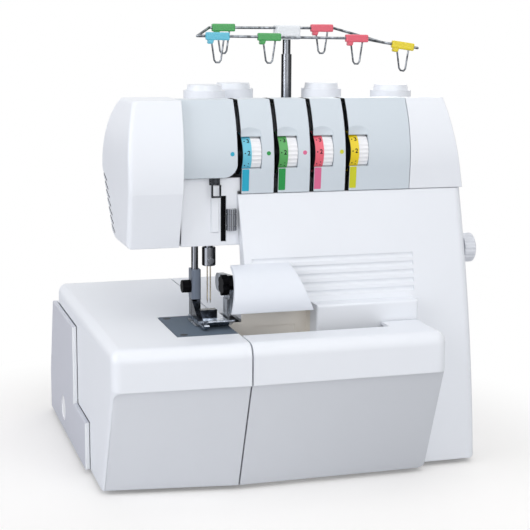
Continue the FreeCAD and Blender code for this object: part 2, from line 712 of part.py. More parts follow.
def rear_cover():
    """Rear wall behind the bed, deck right of the bed cover, throat wall, fence and right side wall."""
    high = COLUMN_TOP - SEAM
    lean = (DEPTH - REAR_TOP_Y) / (PANEL_TOP - REAR_BEND_Z)
    side = [(DEPTH, FOOT_H), (DEPTH, REAR_BEND_Z), (REAR_TOP_Y, PANEL_TOP), (REAR_TOP_Y - WALL, PANEL_TOP),
            (DEPTH - WALL, REAR_BEND_Z - WALL * lean), (DEPTH - WALL, FOOT_H)]
    inner_x = THROAT_REAR_X + WALL
    bed_wall = prism_x(side, PANEL_T + SEAT, inner_x)
    deck_x0 = SPLIT_X + SPLIT_GAP / 2
    deck_y0 = PLATE_Y1 + DECK_BACK
    deck = box(deck_x0, THROAT_X + WALL, deck_y0, BED_REAR, BED_TOP - WALL, BED_TOP)
    corner = box(THROAT_X, THROAT_REAR_X, THROAT_BEND_Y, BED_REAR, BED_TOP - WALL, BED_TOP)
    apron = box(deck_x0, THROAT_REAR_X, BED_REAR - WALL, BED_REAR, PANEL_TOP - WALL, BED_TOP)
    shelf = box(PANEL_T + SEAT, inner_x, BED_REAR - 2 * WALL, REAR_TOP_Y, PANEL_TOP - WALL, PANEL_TOP)
    throat = prism_z(throat_plan(0), PANEL_TOP - WALL, high).cut(prism_z(throat_plan(WALL), 0, FAR))
    throat = throat.common(box(0, inner_x, 0, ARM_REAR_Y, 0, FAR))
    throat = throat.cut(box(0, THROAT_X + WALL, 0, ARM_BACK_Y + SEAM, ARM_LOW - SEAM, FAR))
    throat = throat.cut(rod_x(0, FAR, KNIFE_PIVOT_Y, KNIFE_PIVOT_Z, KNIFE_SHAFT_R + COVER_PLAY))
    fence_x = COLUMN_LEAN_X + SEAM
    fence = box(fence_x, THROAT_X + WALL, ARM_FRONT_Y, ARM_FRONT_Y + WALL, BED_TOP - WALL, ARM_LOW - SEAM)
    sill = box(fence_x, THROAT_X + WALL, ARM_FRONT_Y, deck_y0, BED_TOP - WALL, BED_TOP)
    right = box(THROAT_X, BODY_W, COLUMN_BACK_Y + SEAM, DEPTH, FOOT_H, high)
    right = right.common(right_side_block(0)).cut(right_side_block(WALL))
    back_side = [(DEPTH, FOOT_H), (DEPTH, REAR_BEND_Z), (ARM_REAR_Y, high), (ARM_REAR_Y - WALL, high),
                 (DEPTH - WALL, REAR_BEND_Z), (DEPTH - WALL, FOOT_H)]
    back = prism_x(back_side, THROAT_REAR_X, BODY_W).common(right_side_block(0))
    drafted_side = [(0, FOOT_H), (DEPTH, FOOT_H), (DEPTH, REAR_BEND_Z), (ARM_REAR_Y, high), (0, high)]
    drafted = prism_x(drafted_side, 0, BODY_W)
    shell = fused([bed_wall, deck, corner, apron, shelf, throat, fence, sill, right.common(drafted), back])
    shell = shell.cut(rod_x(COLUMN_TOP_X - WALL, FAR, SHAFT_Y, SHAFT_Z, SHAFT_R + COVER_PLAY))
    shell = shell.cut(foot_corner(BODY_W, COLUMN_FOOT_R))
    inside = COLUMN_TOP_X - 2 * WALL
    inlet = box(inside, FAR, CONTROL_Y - INLET_W / 2, CONTROL_Y + INLET_W / 2,
                INLET_Z - INLET_H / 2, INLET_Z + INLET_H / 2)
    switch = box(inside, FAR, CONTROL_Y - SWITCH_W / 2, CONTROL_Y + SWITCH_W / 2,
                 SWITCH_Z - SWITCH_H / 2, SWITCH_Z + SWITCH_H / 2)
    stud_x = side_x(SWITCH_Z) - WALL / 2
    studs = rod_y(stud_x, CONTROL_Y - SWITCH_W, CONTROL_Y + SWITCH_W, SWITCH_Z, SWITCH_STUD_R + RUN)
    return shell.cut(inlet).cut(switch).cut(studs)


def right_side_block(inset):
    """Everything left of the right face, which curves in towards the top."""
    foot_x = BODY_W - inset
    top_x = CAP_TOP_X - inset
    return prism_y([(-1, 0), (foot_x, 0), (foot_x, FOOT_H),
                    ((COLUMN_MID_X - inset, COLUMN_MID[1]), (COLUMN_TOP_X - inset, COLUMN_TOP)),
                    (top_x, TOP_Z), (top_x, TOP_Z + 1), (-1, TOP_Z + 1)], -1, FAR)


def column_left_block(inset):
    """Everything right of the column's leaning left edge."""
    low_x = COLUMN_LEAN_X + inset
    return prism_y([(COLUMN_X0 + inset, COLUMN_TOP), (low_x, MOUTH_TOP), (low_x, 0), (FAR, 0),
                    (FAR, COLUMN_TOP)],
                   -1, FAR)


def column_cover():
    high = COLUMN_TOP - SEAM
    top_y = column_y(high)
    mid_z = COLUMN_MID[1]

    def front(inset, low, top, back):
        return [(COLUMN_FOOT_Y + inset, low), ((column_y(mid_z) + inset, mid_z), (top_y + inset, top)),
                (back, top), (back, low)]

    outer = prism_x(front(0, FOOT_H, high, COLUMN_BACK_Y), COLUMN_X0, BODY_W).common(right_side_block(0))
    outer = outer.common(column_left_block(0))
    outer = round_edges(outer, COLUMN_EDGE_R,
                        lambda c, e: c.x > COLUMN_TOP_X - 1 and c.y < COLUMN_TOP_Y and e.Length > 100)
    inner = prism_x(front(WALL, FOOT_H - 1, high, COLUMN_BACK_Y + 1), COLUMN_X0, BODY_W)
    shell = outer.cut(inner.common(right_side_block(WALL)).common(column_left_block(WALL)))
    left = box(COLUMN_X0 - 1, COLUMN_LEAN_X + 2 * WALL, ARM_FRONT_Y - SEAM, FAR, 0, FAR)
    mouth = box(COLUMN_X0 - 1, MOUTH_X1, 0, FAR, 0, MOUTH_TOP)
    below = box(COLUMN_X0 - 1, LOOPER_X1 + SEAM, 0, COLUMN_BACK_Y - 1, 0, LEDGE_LOW)
    shell = shell.cut(left).cut(mouth).cut(below)
    ledge = box(MOUTH_X1, LEDGE_X1, LEDGE_Y, column_y(MOUTH_TOP) + WALL, LEDGE_LOW, MOUTH_TOP)
    hollow = box(MOUTH_X1 + WALL, LEDGE_X1 - WALL, LEDGE_Y + WALL, FAR, 0, MOUTH_TOP - WALL)
    ledge = round_edges(ledge, LEDGE_R, lambda c, e: c.y < LEDGE_Y + 0.01 and c.z > LEDGE_LOW + 1)
    shell = fused([shell.cut(hollow), ledge.cut(hollow)])
    for i in range(RIB_COUNT):
        z = RIB_TOP_Z - i * RIB_PITCH
        y = column_y(z)
        groove = rod_x(RIB_X0, RIB_X1, y - RIB_H + RIB_DEEP, z, RIB_H)
        shell = shell.cut(groove)
    knob = rod_x(COLUMN_X0, FAR, KNOB_DIFF_Y, KNOB_DIFF_Z, KNOB_STEM_R + RUN)
    shell = shell.cut(foot_corner(BODY_W, COLUMN_FOOT_R))
    return shell.cut(knob.common(box(RIB_X1, FAR, 0, FAR, 0, FAR)))


def panel_profile(shift, foot_z):
    """Front outline of the tension panel, moved back by shift."""
    return [(PANEL_FOOT_Y + shift, foot_z), (PANEL_BULGE[0] + shift, PANEL_BULGE[1]),
            ((PANEL_MID[0] + shift, PANEL_MID[1]), (PANEL_TOP_Y + shift, TOP_Z))]


def tension_panel():
    front = panel_profile(0, COLUMN_TOP)
    solid = prism_x(front + [(SLOT_TOP_Y, TOP_Z), (SLOT_TOP_Y, COLUMN_TOP)], PANEL_X0, PANEL_X1)
    hollow_side = panel_profile(PANEL_THICK, COLUMN_TOP)
    hollow = prism_x(hollow_side + [(FAR, TOP_Z), (FAR, COLUMN_TOP)], PANEL_X0 - 1, PANEL_X1 + 1)
    hollow = hollow.common(box(-1, FAR, 0, FAR, 0, TOP_Z - PANEL_THICK))
    panel = solid.cut(hollow)
    lean = prism_y([(PANEL_TOP_X0, TOP_Z), (PANEL_X0, PANEL_LEFT_Z), (PANEL_X0, COLUMN_TOP), (FAR, COLUMN_TOP),
                    (FAR, TOP_Z)], -1, FAR)
    panel = panel.common(lean)
    edge = SLOT_X - SLOT_W / 2
    r = PANEL_LEFT_R
    c = r * (1 - math.sqrt(0.5))
    low = PANEL_LEFT_Z
    right = edge + SLOT_W
    below = prism_y([(0, 0), (0, low), (edge - r, low), ((edge - c, low + c), (edge, low + r)), (right, low + r),
                     (right, low - r), (edge + 1, low - r), (edge + 1, 0)], -1, FAR)
    panel = panel.cut(below)
    for i in range(DIAL_COUNT):
        x = SLOT_X + i * SLOT_PITCH
        slot_low = low if i == 0 else COLUMN_TOP
        panel = panel.cut(box(x - SLOT_W / 2, x + SLOT_W / 2, 0, SLOT_TOP_Y - PANEL_THICK, slot_low, FAR))
        window_x1 = x + SLOT_W / 2 + DIAL_W + 2 * SEAM
        panel = panel.cut(box(x, window_x1, 0, FAR, WINDOW_LOW, WINDOW_TOP))
        scoop_r = DIAL_R * 2
        scoop = Part.makeSphere(scoop_r, V(x + SLOT_W / 2 + DIAL_W / 2, PANEL_MID[0] - scoop_r + SCOOP_DEEP,
                                           WINDOW_TOP + SLOT_W))
        panel = panel.cut(scoop.common(box(x, window_x1, 0, FAR, WINDOW_TOP - 1, FAR)))
    return panel


def face_side_block(inset):
    """Front outline of the head: left face rolling in at the top, right edge leaning in at the chin."""
    x0 = FACE_X0 + inset
    rise = TOP_Z - FACE_LEAN_Z
    roll = FACE_TOP_X0 - FACE_X0
    r = (rise * rise + roll * roll) / (2 * roll)
    half = math.asin(rise / r) / 2
    mid = (x0 + r * (1 - math.cos(half)), FACE_LEAN_Z + r * math.sin(half))
    return prism_y([(x0, HEAD_LOW), (FACE_LOW_X1, HEAD_LOW), (PANEL_X0 - SEAM, PANEL_LEFT_Z), (FACE_X1, TOP_Z),
                    (FACE_TOP_X0 + inset, TOP_Z), (mid, (x0, FACE_LEAN_Z))], -1, FAR)


def face_cover():
    side = [(FACE_LOW_Y, HEAD_LOW), FACE_CREASE, (FACE_MID, (FACE_TOP_Y, TOP_Z)), (FACE_BACK_TOP_Y, TOP_Z),
            (FACE_BACK_MID, FACE_BACK), FACE_CHIN, FACE_CHIN_LOW, (FACE_LOW_BACK_Y, HEAD_LOW)]
    outer = prism_x(side, FACE_X0, FACE_X1).common(face_side_block(0))
    outer = round_edges(outer, FACE_EDGE_R, lambda c, e: c.x < FACE_TOP_X0 + 0.01 and on_left_face(e))
    inside = outline(at_x(FACE_X0, side)).makeOffset2D(-WALL)
    hollow = inside.extrude(V(FACE_X1 - FACE_X0, 0, 0))
    shell = outer.cut(hollow.common(face_side_block(WALL).fuse(box(FACE_TOP_X0, FAR, 0, FAR, 0, TOP_Z))))
    run = V(0, FACE_CHIN_LOW[0] - FACE_BACK[0], FACE_CHIN_LOW[1] - FACE_BACK[1])
    for i in range(LOUVRE_COUNT):
        place = V(FACE_X0, *FACE_BACK) + run * (LOUVRE_FROM + i * LOUVRE_STEP)
        slot = box(-1, LOUVRE_RUN, -LOUVRE_LEN, LOUVRE_DEEP, -LOUVRE_W / 2, LOUVRE_W / 2)
        slot.rotate(V(0, 0, 0), V(1, 0, 0), LOUVRE_LEAN)
        slot.translate(place)
        shell = shell.cut(slot)
    return shell


def on_left_face(edge):
    """True for an edge that bounds the head's left face, and not for the line where its roll starts."""
    ends = [v.Point for v in edge.Vertexes]
    on_face = all(abs(p.x - (FACE_TOP_X0 if p.z > TOP_Z - 0.01 else FACE_X0)) < 0.01 for p in ends)
    return on_face and not all(abs(p.z - FACE_LEAN_Z) < 0.01 for p in ends)


def arm_profile(inset, low):
    """Side outline of the arm's right end: front curve, top, step to the spool deck and back."""
    back = ARM_REAR_Y - inset
    top = [(ARM_TOP_Y, TOP_Z - inset), (ARM_TOP_REAR_Y - inset, ARM_TOP_REAR_Z - inset),
           (ARM_TOP_REAR_Y + ARM_STEP_Y - inset, DECK_Z - inset), (back, DECK_Z - inset), (back, low)]
    return panel_profile(inset, low) + top


def arm_cover():
    """Top casing: cap at the right, top behind the tension panel, spool deck and the arm over the bed."""
    high = COLUMN_TOP
    outer = prism_x(arm_profile(0, high), ARM_X0, BODY_W).common(right_side_block(0))
    inner_side = arm_profile(WALL, high - 1)
    inner_side[2] = (inner_side[2][0], (PANEL_TOP_Y + WALL, TOP_Z - WALL))
    inner = prism_x(inner_side, ARM_X0 + WALL, BODY_W).common(right_side_block(WALL))
    top = outer.cut(inner)
    beyond = box(0, THROAT_X, ARM_BACK_Y, FAR, 0, FAR)
    front = box(0, PANEL_X1 + SEAM, 0, SLOT_TOP_Y + SEAM, high - 1, FAR)
    top = top.cut(beyond).cut(front)
    back_wall = box(ARM_X0, THROAT_X + WALL, ARM_BACK_Y - WALL, ARM_BACK_Y, ARM_LOW, DECK_Z)
    back_side = box(THROAT_X, THROAT_X + WALL, ARM_BACK_Y - WALL, ARM_REAR_Y, high, DECK_Z)
    soffit = box(THROAT_X, THROAT_REAR_X + WALL, ARM_BACK_Y - WALL, ARM_REAR_Y, high, high + WALL)
    left_wall = box(ARM_X0, ARM_X0 + WALL, SLOT_TOP_Y + SEAM, ARM_BACK_Y, ARM_LOW, DECK_Z)
    floor = box(PANEL_X0, THROAT_X + WALL, ARM_FRONT_Y, ARM_BACK_Y, ARM_LOW, ARM_LOW + WALL)
    inner_y = ARM_FRONT_Y + WALL
    front_wall = box(PANEL_X0, SLOT_X + SLOT_W / 2, ARM_FRONT_Y, inner_y, ARM_LOW, PANEL_LEFT_Z - SEAM)
    front_low = box(PANEL_X0, THROAT_X + WALL, ARM_FRONT_Y, inner_y, ARM_LOW, COLUMN_TOP - 2 * WALL)
    rib = box(SLOT_RIB_X0, SLOT_RIB_X0 + SLOT_RIB_W, ARM_FRONT_Y - SLOT_RIB_OUT, inner_y,
              SLOT_RIB_LOW, SLOT_RIB_TOP)
    rib = round_edges(rib, SLOT_RIB_R, lambda c, e: abs(c.y - ARM_FRONT_Y + SLOT_RIB_OUT) < 0.01)
    shell = fused([top, back_wall, back_side, soffit, left_wall, floor, front_wall, front_low, rib])
    for x, y, r in ((NEEDLE_X, NEEDLE_Y, BAR_R), (PRESSER_X, PRESSER_Y, PRESSER_R)):
        shell = shell.cut(rod_z(x, y, ARM_LOW - 1, ARM_LOW + WALL + 1, r + COVER_PLAY))
    shell = shell.cut(rod_y(LIFTER_X, ARM_BACK_Y - WALL - 1, ARM_BACK_Y + 1, LIFTER_Z, LIFTER_R + COVER_PLAY))
    shell = shell.cut(rod_z(POST_X, POST_Y, DECK_Z - WALL - 1, DECK_Z + 1, POST_R))
    take_up = box(TAKE_UP_X0, TAKE_UP_X0 + TAKE_UP_W, 0, inner_y + 1, TAKE_UP_LOW, TAKE_UP_TOP)
    return shell.cut(take_up)


def finger_guard():
    top_y = column_y(GUARD_TOP_Z - GUARD_T)
    low_y, low_z = GUARD_LOW
    mid_y, mid_z = GUARD_MID
    t = GUARD_T
    bow = prism_x([(low_y, low_z), (GUARD_MID, (top_y, GUARD_TOP_Z)), (top_y, GUARD_TOP_Z - t),
                   ((mid_y + t, mid_z - t), (low_y + t, low_z))], GUARD_LOW_X0, GUARD_LOW_X1)
    flare = prism_y([(GUARD_LOW_X0, low_z), (GUARD_LOW_X1, low_z), (GUARD_TOP_X1, GUARD_TOP_Z),
                     (GUARD_TOP_X0, GUARD_TOP_Z)], 0, FAR)
    return bow.common(flare)


def looper_backplate():
    """Liner behind the looper mouth, with a return at its right end and a lower part at its left."""
    x0 = COLUMN_X0 + WALL + SEAM
    x1 = MOUTH_X1 + WALL
    low = TRAY_TOP + FRAME_BASE_T
    top = MOUTH_TOP - SEAM
    rear = BACKPLATE_Y + WALL
    plate = fused([box(x0, x1, BACKPLATE_Y, rear, low, top),
                   box(BACKPLATE_X0, x0, BACKPLATE_Y, rear, low, BED_TOP - BACKPLATE_LOW_DROP),
                   box(MOUTH_X1, x1, column_y(MOUTH_TOP) + WALL + SEAT, rear, low, top)])
    relief = box(x0 + RELIEF_IN, MOUTH_X1 - RELIEF_IN, BACKPLATE_Y - 1, BACKPLATE_Y + RELIEF_DEEP,
                 LEDGE_LOW, MOUTH_TOP - 2 * RELIEF_IN)
    return plate.cut(relief)


# Frame and sewing mechanism

def machine_frame():
    """Cast frame: base, post, arm beam, head block, looper web and bearing pedestals."""
    base_top = TRAY_TOP + FRAME_BASE_T
    plate_low = BED_TOP - PLATE_T
    base = box(FRAME_X0, FRAME_X1, FRAME_Y0, FRAME_Y1, TRAY_TOP, base_top)
    post = box(CAST_X0, CAST_X1, CAST_Y0, CAST_Y1, base_top, BEAM_TOP)
    beam_x1 = max(CAST_X1, AXLE_X[1] + AXLE_LUG)
    beam = box(HEAD_X0, beam_x1, BEAM_Y0, BEAM_Y1, BEAM_LOW, BEAM_TOP)
    head = box(HEAD_X0, HEAD_X1, HEAD_Y0, BEAM_Y1, BEAM_LOW, BEAM_TOP)
    cap = box(HEAD_X0, HEAD_X1 - AXLE_LUG, HEAD_Y0, BEAM_Y1, SPRING_TOP, SPRING_TOP + CAP_T)
    cap_wall = box(HEAD_X0, HEAD_X1 - AXLE_LUG, BEAM_Y0, BEAM_Y1, BEAM_TOP, SPRING_TOP + CAP_T)
    head = fused([head, cap, cap_wall])
    head = head.cut(rod_z(NEEDLE_X, NEEDLE_Y, 0, FAR, BUSH_R))
    head = head.cut(rod_z(PRESSER_X, PRESSER_Y, 0, FAR, PRESSER_R + RUN))
    web = box(WEB_X0, THROAT_X, LOOPER_WEB_Y, LOOPER_WEB_Y + WEB_T, base_top, BED_TOP - WALL - SEAM)
    rails = []
    for x in (WEB_X0, SPLIT_X - RAIL_W):
        rails.append(box(x, x + RAIL_W, PLATE_Y0, PLATE_Y1, plate_low - RAIL_W, plate_low))
        rails.append(box(x, x + RAIL_W, PLATE_Y1, LOOPER_WEB_Y, plate_low - RAIL_W, BED_TOP - WALL - SEAM))
    tongue = box(FEED_X0, FEED_X0 + FEED_GAP, FEED_Y0, LOOPER_WEB_Y, FEED_LOW - TONGUE_T, FEED_LOW - RUN)
    reach = KNIFE_SHAFT_R * 2
    knife_post = box(KNIFE_BEARING_X, KNIFE_BEARING_X + BEARING_W, KNIFE_PIVOT_Y - reach,
                     KNIFE_PIVOT_Y + reach, base_top, KNIFE_PIVOT_Z + reach)
    lifter_boss = box(LIFTER_X - LIFTER_BOSS, LIFTER_X + LIFTER_BOSS, BEAM_Y1, BEAM_Y1 + 2 * LIFTER_BOSS,
                      LIFTER_Z - LIFTER_BOSS, LIFTER_Z + LIFTER_BOSS)
    shelf = box(POST_X - 2 * POST_R, CAST_X1, CAST_Y1 - POST_R, POST_Y + 2 * POST_R,
                POST_LOW - TONGUE_T, POST_LOW)
    pieces = [base, post, beam, head, web, tongue, knife_post, lifter_boss, shelf] + rails
    seat = BEARING_R + BEARING_SEAT
    for x in BEARING_X:
        pieces.append(box(x, x + BEARING_W, SHAFT_Y - seat, SHAFT_Y + seat, base_top, SHAFT_Z + seat))
    lug = DIAL_AXLE_R * 2
    for x in AXLE_X:
        pieces.append(box(x, x + AXLE_LUG, DIAL_Y - lug, BEAM_Y1, BEAM_TOP, DIAL_Z + lug))
    cast = fused(pieces)
    for x in AXLE_X:
        cast = cast.cut(rod_x(x - 1, x + AXLE_LUG + 1, DIAL_Y, DIAL_Z, DIAL_AXLE_R))
    for x in BEARING_X:
        cast = cast.cut(rod_x(x - 1, x + BEARING_W + 1, SHAFT_Y, SHAFT_Z, BEARING_R))
    for x, z in (LOW_LOOPER, UP_LOOPER):
        cast = cast.cut(rod_y(x, LOOPER_WEB_Y - 1, LOOPER_WEB_Y + WEB_T + 1, z, LOOPER_SHAFT_R + RUN))
    cast = cast.cut(rod_x(KNIFE_BEARING_X - 1, CAST_X0, KNIFE_PIVOT_Y, KNIFE_PIVOT_Z, KNIFE_SHAFT_R + RUN))
    return cast.cut(rod_y(LIFTER_X, BEAM_Y1 - 1, FAR, LIFTER_Z, LIFTER_R + RUN))


def plate_screw_places():
    inset = PLATE_SCREW_R * 2
    x = PLATE_X0 + inset
    return ((x, PLATE_Y0 + inset), (x, PLATE_Y1 - inset))


def needle_plate():
    plate = box(PLATE_X0, BED_X1, PLATE_Y0, PLATE_Y1, BED_TOP - PLATE_T, BED_TOP)
    mid_z = BED_TOP - PLATE_T / 2
    plate = round_edges(plate, PLATE_R, lambda c, e: c.x < PLATE_X0 + 0.01 and abs(c.z - mid_z) < 0.01)
    half = NEEDLE_GAP / 2 + NEEDLE_SLOT
    depth = 2 * NEEDLE_SLOT
    plate = plate.cut(box(NEEDLE_X - half, NEEDLE_X + half, NEEDLE_Y - depth, NEEDLE_Y + depth, 0, FAR))
    for i in range(2):
        x = FEED_X0 + i * FEED_GAP
        reach = FEED_TRAVEL + SEAM
        plate = plate.cut(box(x - SEAM, x + FEED_W + SEAM, FEED_Y0 - reach, FEED_Y1 + reach, 0, FAR))
    for x, y in plate_screw_places():
        place = V(x, y, BED_TOP - PLATE_T)
        plate = plate.cut(Part.makeCone(PLATE_SCREW_R - PLATE_T, PLATE_SCREW_R, PLATE_T, place))
    return plate


def plate_screws():
    screws = []
    for x, y in plate_screw_places():
        head = Part.makeCone(PLATE_SCREW_R - PLATE_T, PLATE_SCREW_R, PLATE_T, V(x, y, BED_TOP - PLATE_T))
        slot = box(x - PLATE_SCREW_R, x + PLATE_SCREW_R, y - SLIT / 2, y + SLIT / 2, BED_TOP - SLIT, FAR)
        screws.append(head.cut(slot))
    return Part.makeCompound(screws)


def feed_dogs():
    """Two toothed bars on one feed bar."""
    top = BED_TOP + FEED_PROUD
    pieces = [box(FEED_X0, FEED_X0 + FEED_GAP + FEED_W, FEED_Y0, FEED_Y1, FEED_LOW, FEED_LOW + FEED_W)]
    pitch = FEED_PITCH
    for i in range(2):
        x = FEED_X0 + i * FEED_GAP
        bar_block = box(x, x + FEED_W, FEED_Y0, FEED_Y1, FEED_LOW, top)
        for k in range(int((FEED_Y1 - FEED_Y0) / pitch) - 1):
            y = FEED_Y0 + (k + 1) * pitch
            bar_block = bar_block.cut(prism_x([(y, top - 1), (y + pitch / 2, top + 1), (y - pitch / 2, top + 1)],
                                              x - 1, x + FEED_W + 1))
        pieces.append(bar_block)
    return fused(pieces)


def needle_bar():
    return rod_z(NEEDLE_X, NEEDLE_Y, CLAMP_LOW + NEEDLE_POINT * 2, BAR_TOP, BAR_R)


def needle_places():
    return (NEEDLE_X - NEEDLE_GAP / 2, NEEDLE_X + NEEDLE_GAP / 2)


def needles():
    """Two needles with pointed ends; their shanks end inside the clamp."""
    shapes = []
    for x in needle_places():
        body = rod_z(x, NEEDLE_Y, NEEDLE_TIP + NEEDLE_POINT, CLAMP_LOW + NEEDLE_POINT, NEEDLE_R)
        point = Part.makeCone(NEEDLE_POINT_R, NEEDLE_R, NEEDLE_POINT, V(x, NEEDLE_Y, NEEDLE_TIP))
        shapes.append(body.fuse(point).removeSplitter())
    return Part.makeCompound(shapes)


def needle_clamp():
    block = rod_z(NEEDLE_X, NEEDLE_Y, CLAMP_LOW, CLAMP_TOP, CLAMP_R)
    block = round_edges(block, CLAMP_EDGE_R, lambda c, e: len(e.Vertexes) == 1)
    screw_z = CLAMP_LOW + CLAMP_SCREW_R * 2
    screw_y = NEEDLE_Y - CLAMP_R - CLAMP_SCREW_R
    block = fused([block, rod_y(NEEDLE_X, screw_y, NEEDLE_Y - BAR_R, screw_z, CLAMP_SCREW_R)])
    block = block.cut(rod_z(NEEDLE_X, NEEDLE_Y, CLAMP_LOW + NEEDLE_POINT * 2, FAR, BAR_R))
    for x in needle_places():
        block = block.cut(rod_z(x, NEEDLE_Y, 0, CLAMP_LOW + NEEDLE_POINT, NEEDLE_R))
    return block


def bar_bushes():
    """Bushes of the needle bar, pressed into the head block."""
    bushes = []
    for low in (BEAM_LOW, BEAM_TOP - BUSH_H):
        ring = rod_z(NEEDLE_X, NEEDLE_Y, low, low + BUSH_H, BUSH_R)
        bushes.append(ring.cut(rod_z(NEEDLE_X, NEEDLE_Y, 0, FAR, BAR_R + RUN)))
    return Part.makeCompound(bushes)


def presser_bar():
    return rod_z(PRESSER_X, PRESSER_Y, HOLDER_LOW + HOLDER_W, PRESSER_TOP, PRESSER_R)


def presser_spring():
    """Spring around the presser bar, between head block and cap."""
    coil_r = PRESSER_R + 2 * SPRING_WIRE_R + SEAM
    rise = SPRING_TOP - BEAM_TOP - 2 * SPRING_WIRE_R
    helix = Part.makeHelix(SPRING_PITCH, rise, coil_r)
    ring = Part.Wire(Part.makeCircle(SPRING_WIRE_R, V(coil_r, 0, 0), V(0, 1, 0)))
    coil = helix.makePipeShell([ring], True, True)
    coil.translate(V(PRESSER_X, PRESSER_Y, BEAM_TOP + SPRING_WIRE_R))
    return coil


def foot_holder():
    block = box(PRESSER_X - HOLDER_W / 2, PRESSER_X + HOLDER_W / 2,
                PRESSER_Y - HOLDER_D / 2, PRESSER_Y + HOLDER_D / 2, HOLDER_LOW, HOLDER_TOP)
    block = round_edges(block, HOLDER_EDGE_R, lambda c, e: abs(c.z - (HOLDER_LOW + HOLDER_TOP) / 2) < 0.01)
    block = block.cut(rod_z(PRESSER_X, PRESSER_Y, HOLDER_LOW + HOLDER_W, FAR, PRESSER_R))
    return block.cut(rod_x(0, PRESSER_X, THUMB_Y, THUMB_Z, THUMB_STUD_R))


def presser_foot():
    """Sole with upturned front plate, long left runner with a curled tip, needle slot, block and ankle."""
    top = FOOT_LOW + FOOT_T
    curl = FOOT_LOW + TOE_RISE
    sole = box(FOOT_X0, FOOT_X1, FOOT_Y0 + TOE_LEN, FOOT_Y1, FOOT_LOW, top)
    front = prism_x([(FOOT_Y0 + TOE_LEN, FOOT_LOW), (FOOT_Y0 + TOE_LEN, top), (FOOT_Y0, curl + FOOT_T),
                     (FOOT_Y0 - 2, curl + FOOT_T), (FOOT_Y0 - 2, curl + FOOT_T / 2)],
                    FOOT_X0 + RUNNER_W, FOOT_X1)
    tip_y = FOOT_Y0 - RUNNER_L
    runner = prism_x([(FOOT_Y0 + TOE_LEN, FOOT_LOW), (FOOT_Y0 + TOE_LEN, top), (tip_y + 3, top), (tip_y, top + 2),
                      (tip_y - 1, top + 1), (tip_y + 2, FOOT_LOW)], FOOT_X0, FOOT_X0 + RUNNER_W)
    slot = NEEDLE_GAP / 2 + FOOT_SLOT
    sole = sole.cut(box(NEEDLE_X - slot, NEEDLE_X + slot, NEEDLE_Y - FOOT_SLOT_Y,
                        NEEDLE_Y + FOOT_SLOT_Y, 0, FAR))
    half = HOLDER_W / 2
    deep = HOLDER_D / 3
    ankle = box(PRESSER_X - half, PRESSER_X + half, PRESSER_Y - deep, PRESSER_Y + deep, FOOT_LOW, HOLDER_LOW)
    brace_y = FOOT_Y0 + TOE_LEN + RUNNER_W
    brace = prism_x([(PRESSER_Y, HOLDER_LOW), (PRESSER_Y - deep, HOLDER_LOW), (brace_y, top), (brace_y, FOOT_LOW),
                     (PRESSER_Y, FOOT_LOW)], FOOT_X0, FOOT_X0 + RUNNER_W)
    block_y = NEEDLE_Y - FOOT_SLOT_Y - 2
    block = box(PRESSER_X, NEEDLE_X + slot, block_y - BLOCK_D, block_y, FOOT_LOW, top + BLOCK_H)
    return fused([sole, front, runner, ankle, brace, block])


def foot_screw():
    """Thumb screw that holds the foot."""
    face = PRESSER_X - HOLDER_W / 2
    thumb = fluted(THUMB_R, THUMB_FLUTE, THUMB_FLUTES, face - THUMB_L, face, THUMB_Y, THUMB_Z)
    return fused([thumb, rod_x(face - 1, PRESSER_X - PRESSER_R, THUMB_Y, THUMB_Z, THUMB_STUD_R)])


def presser_lifter():
    """Lever behind the arm on its own short shaft."""
    y0 = ARM_BACK_Y + SEAM
    y1 = y0 + LEVER_T
    shaft = rod_y(LIFTER_X, BEAM_Y1 + 1, y1, LIFTER_Z, LIFTER_R)
    hub = rod_y(LIFTER_X, y0, y1, LIFTER_Z, LIFTER_R * 2)
    half = LIFTER_R
    tip_z = LIFTER_Z - LEVER_L
    arm = prism_y([(LIFTER_X - half, LIFTER_Z), (LIFTER_X + half, LIFTER_Z), (LIFTER_X + half - 1, tip_z),
                   (LIFTER_X - half + 1, tip_z)], y0, y1)
    tip = rod_y(LIFTER_X, y0, y1 + LEVER_T, tip_z, LIFTER_R * 1.5)
    return fused([shaft, hub, arm, tip])


def upper_knife():
    return prism_x([(KNIFE_Y0, KNIFE_LOW), (KNIFE_Y1, KNIFE_LOW + KNIFE_RAKE), (KNIFE_Y1, KNIFE_TOP),
                    (KNIFE_Y0, KNIFE_TOP)], KNIFE_X, KNIFE_X + KNIFE_T)


def upper_knife_arm():
    """Arm with its rocker shaft."""
    x0 = KNIFE_X + KNIFE_T
    x1 = x0 + KNIFE_ARM_W
    r = KNOB_R - 1
    plate = prism_x([(KNIFE_PIVOT_Y, KNIFE_PIVOT_Z + r), (KNOB_Y, KNOB_Z + r), (KNOB_Y - r, KNOB_Z),
                     (KNIFE_Y0 - 1, KNIFE_TOP), (KNIFE_Y0 - 1, KNIFE_LOW + KNIFE_SHOW),
                     (KNIFE_Y1 + 1, KNIFE_LOW + KNIFE_SHOW),
                     (KNIFE_Y1 + 4, KNIFE_TOP), (KNIFE_PIVOT_Y, KNIFE_PIVOT_Z - r)], x0, x1)
    hub = rod_x(x0, x1, KNIFE_PIVOT_Y, KNIFE_PIVOT_Z, r)
    shaft = rod_x(x0, KNIFE_BEARING_X + BEARING_W, KNIFE_PIVOT_Y, KNIFE_PIVOT_Z, KNIFE_SHAFT_R)
    arm = fused([plate, hub, shaft])
    return arm.cut(rod_x(x0 - 1, x1 + 1, KNOB_Y, KNOB_Z, KNOB_STUD_R + RUN))


def lobed(disc, radius, lobes, scoop, deep, x0, x1, y, z):
    """Knob across x, a disc with round hollows in its rim."""
    reach = radius + scoop - deep
    for i in range(lobes):
        a = 2 * math.pi * i / lobes
        disc = disc.cut(rod_x(x0 - 1, x1 + 1, y + reach * math.cos(a), z + reach * math.sin(a), scoop))
    return disc


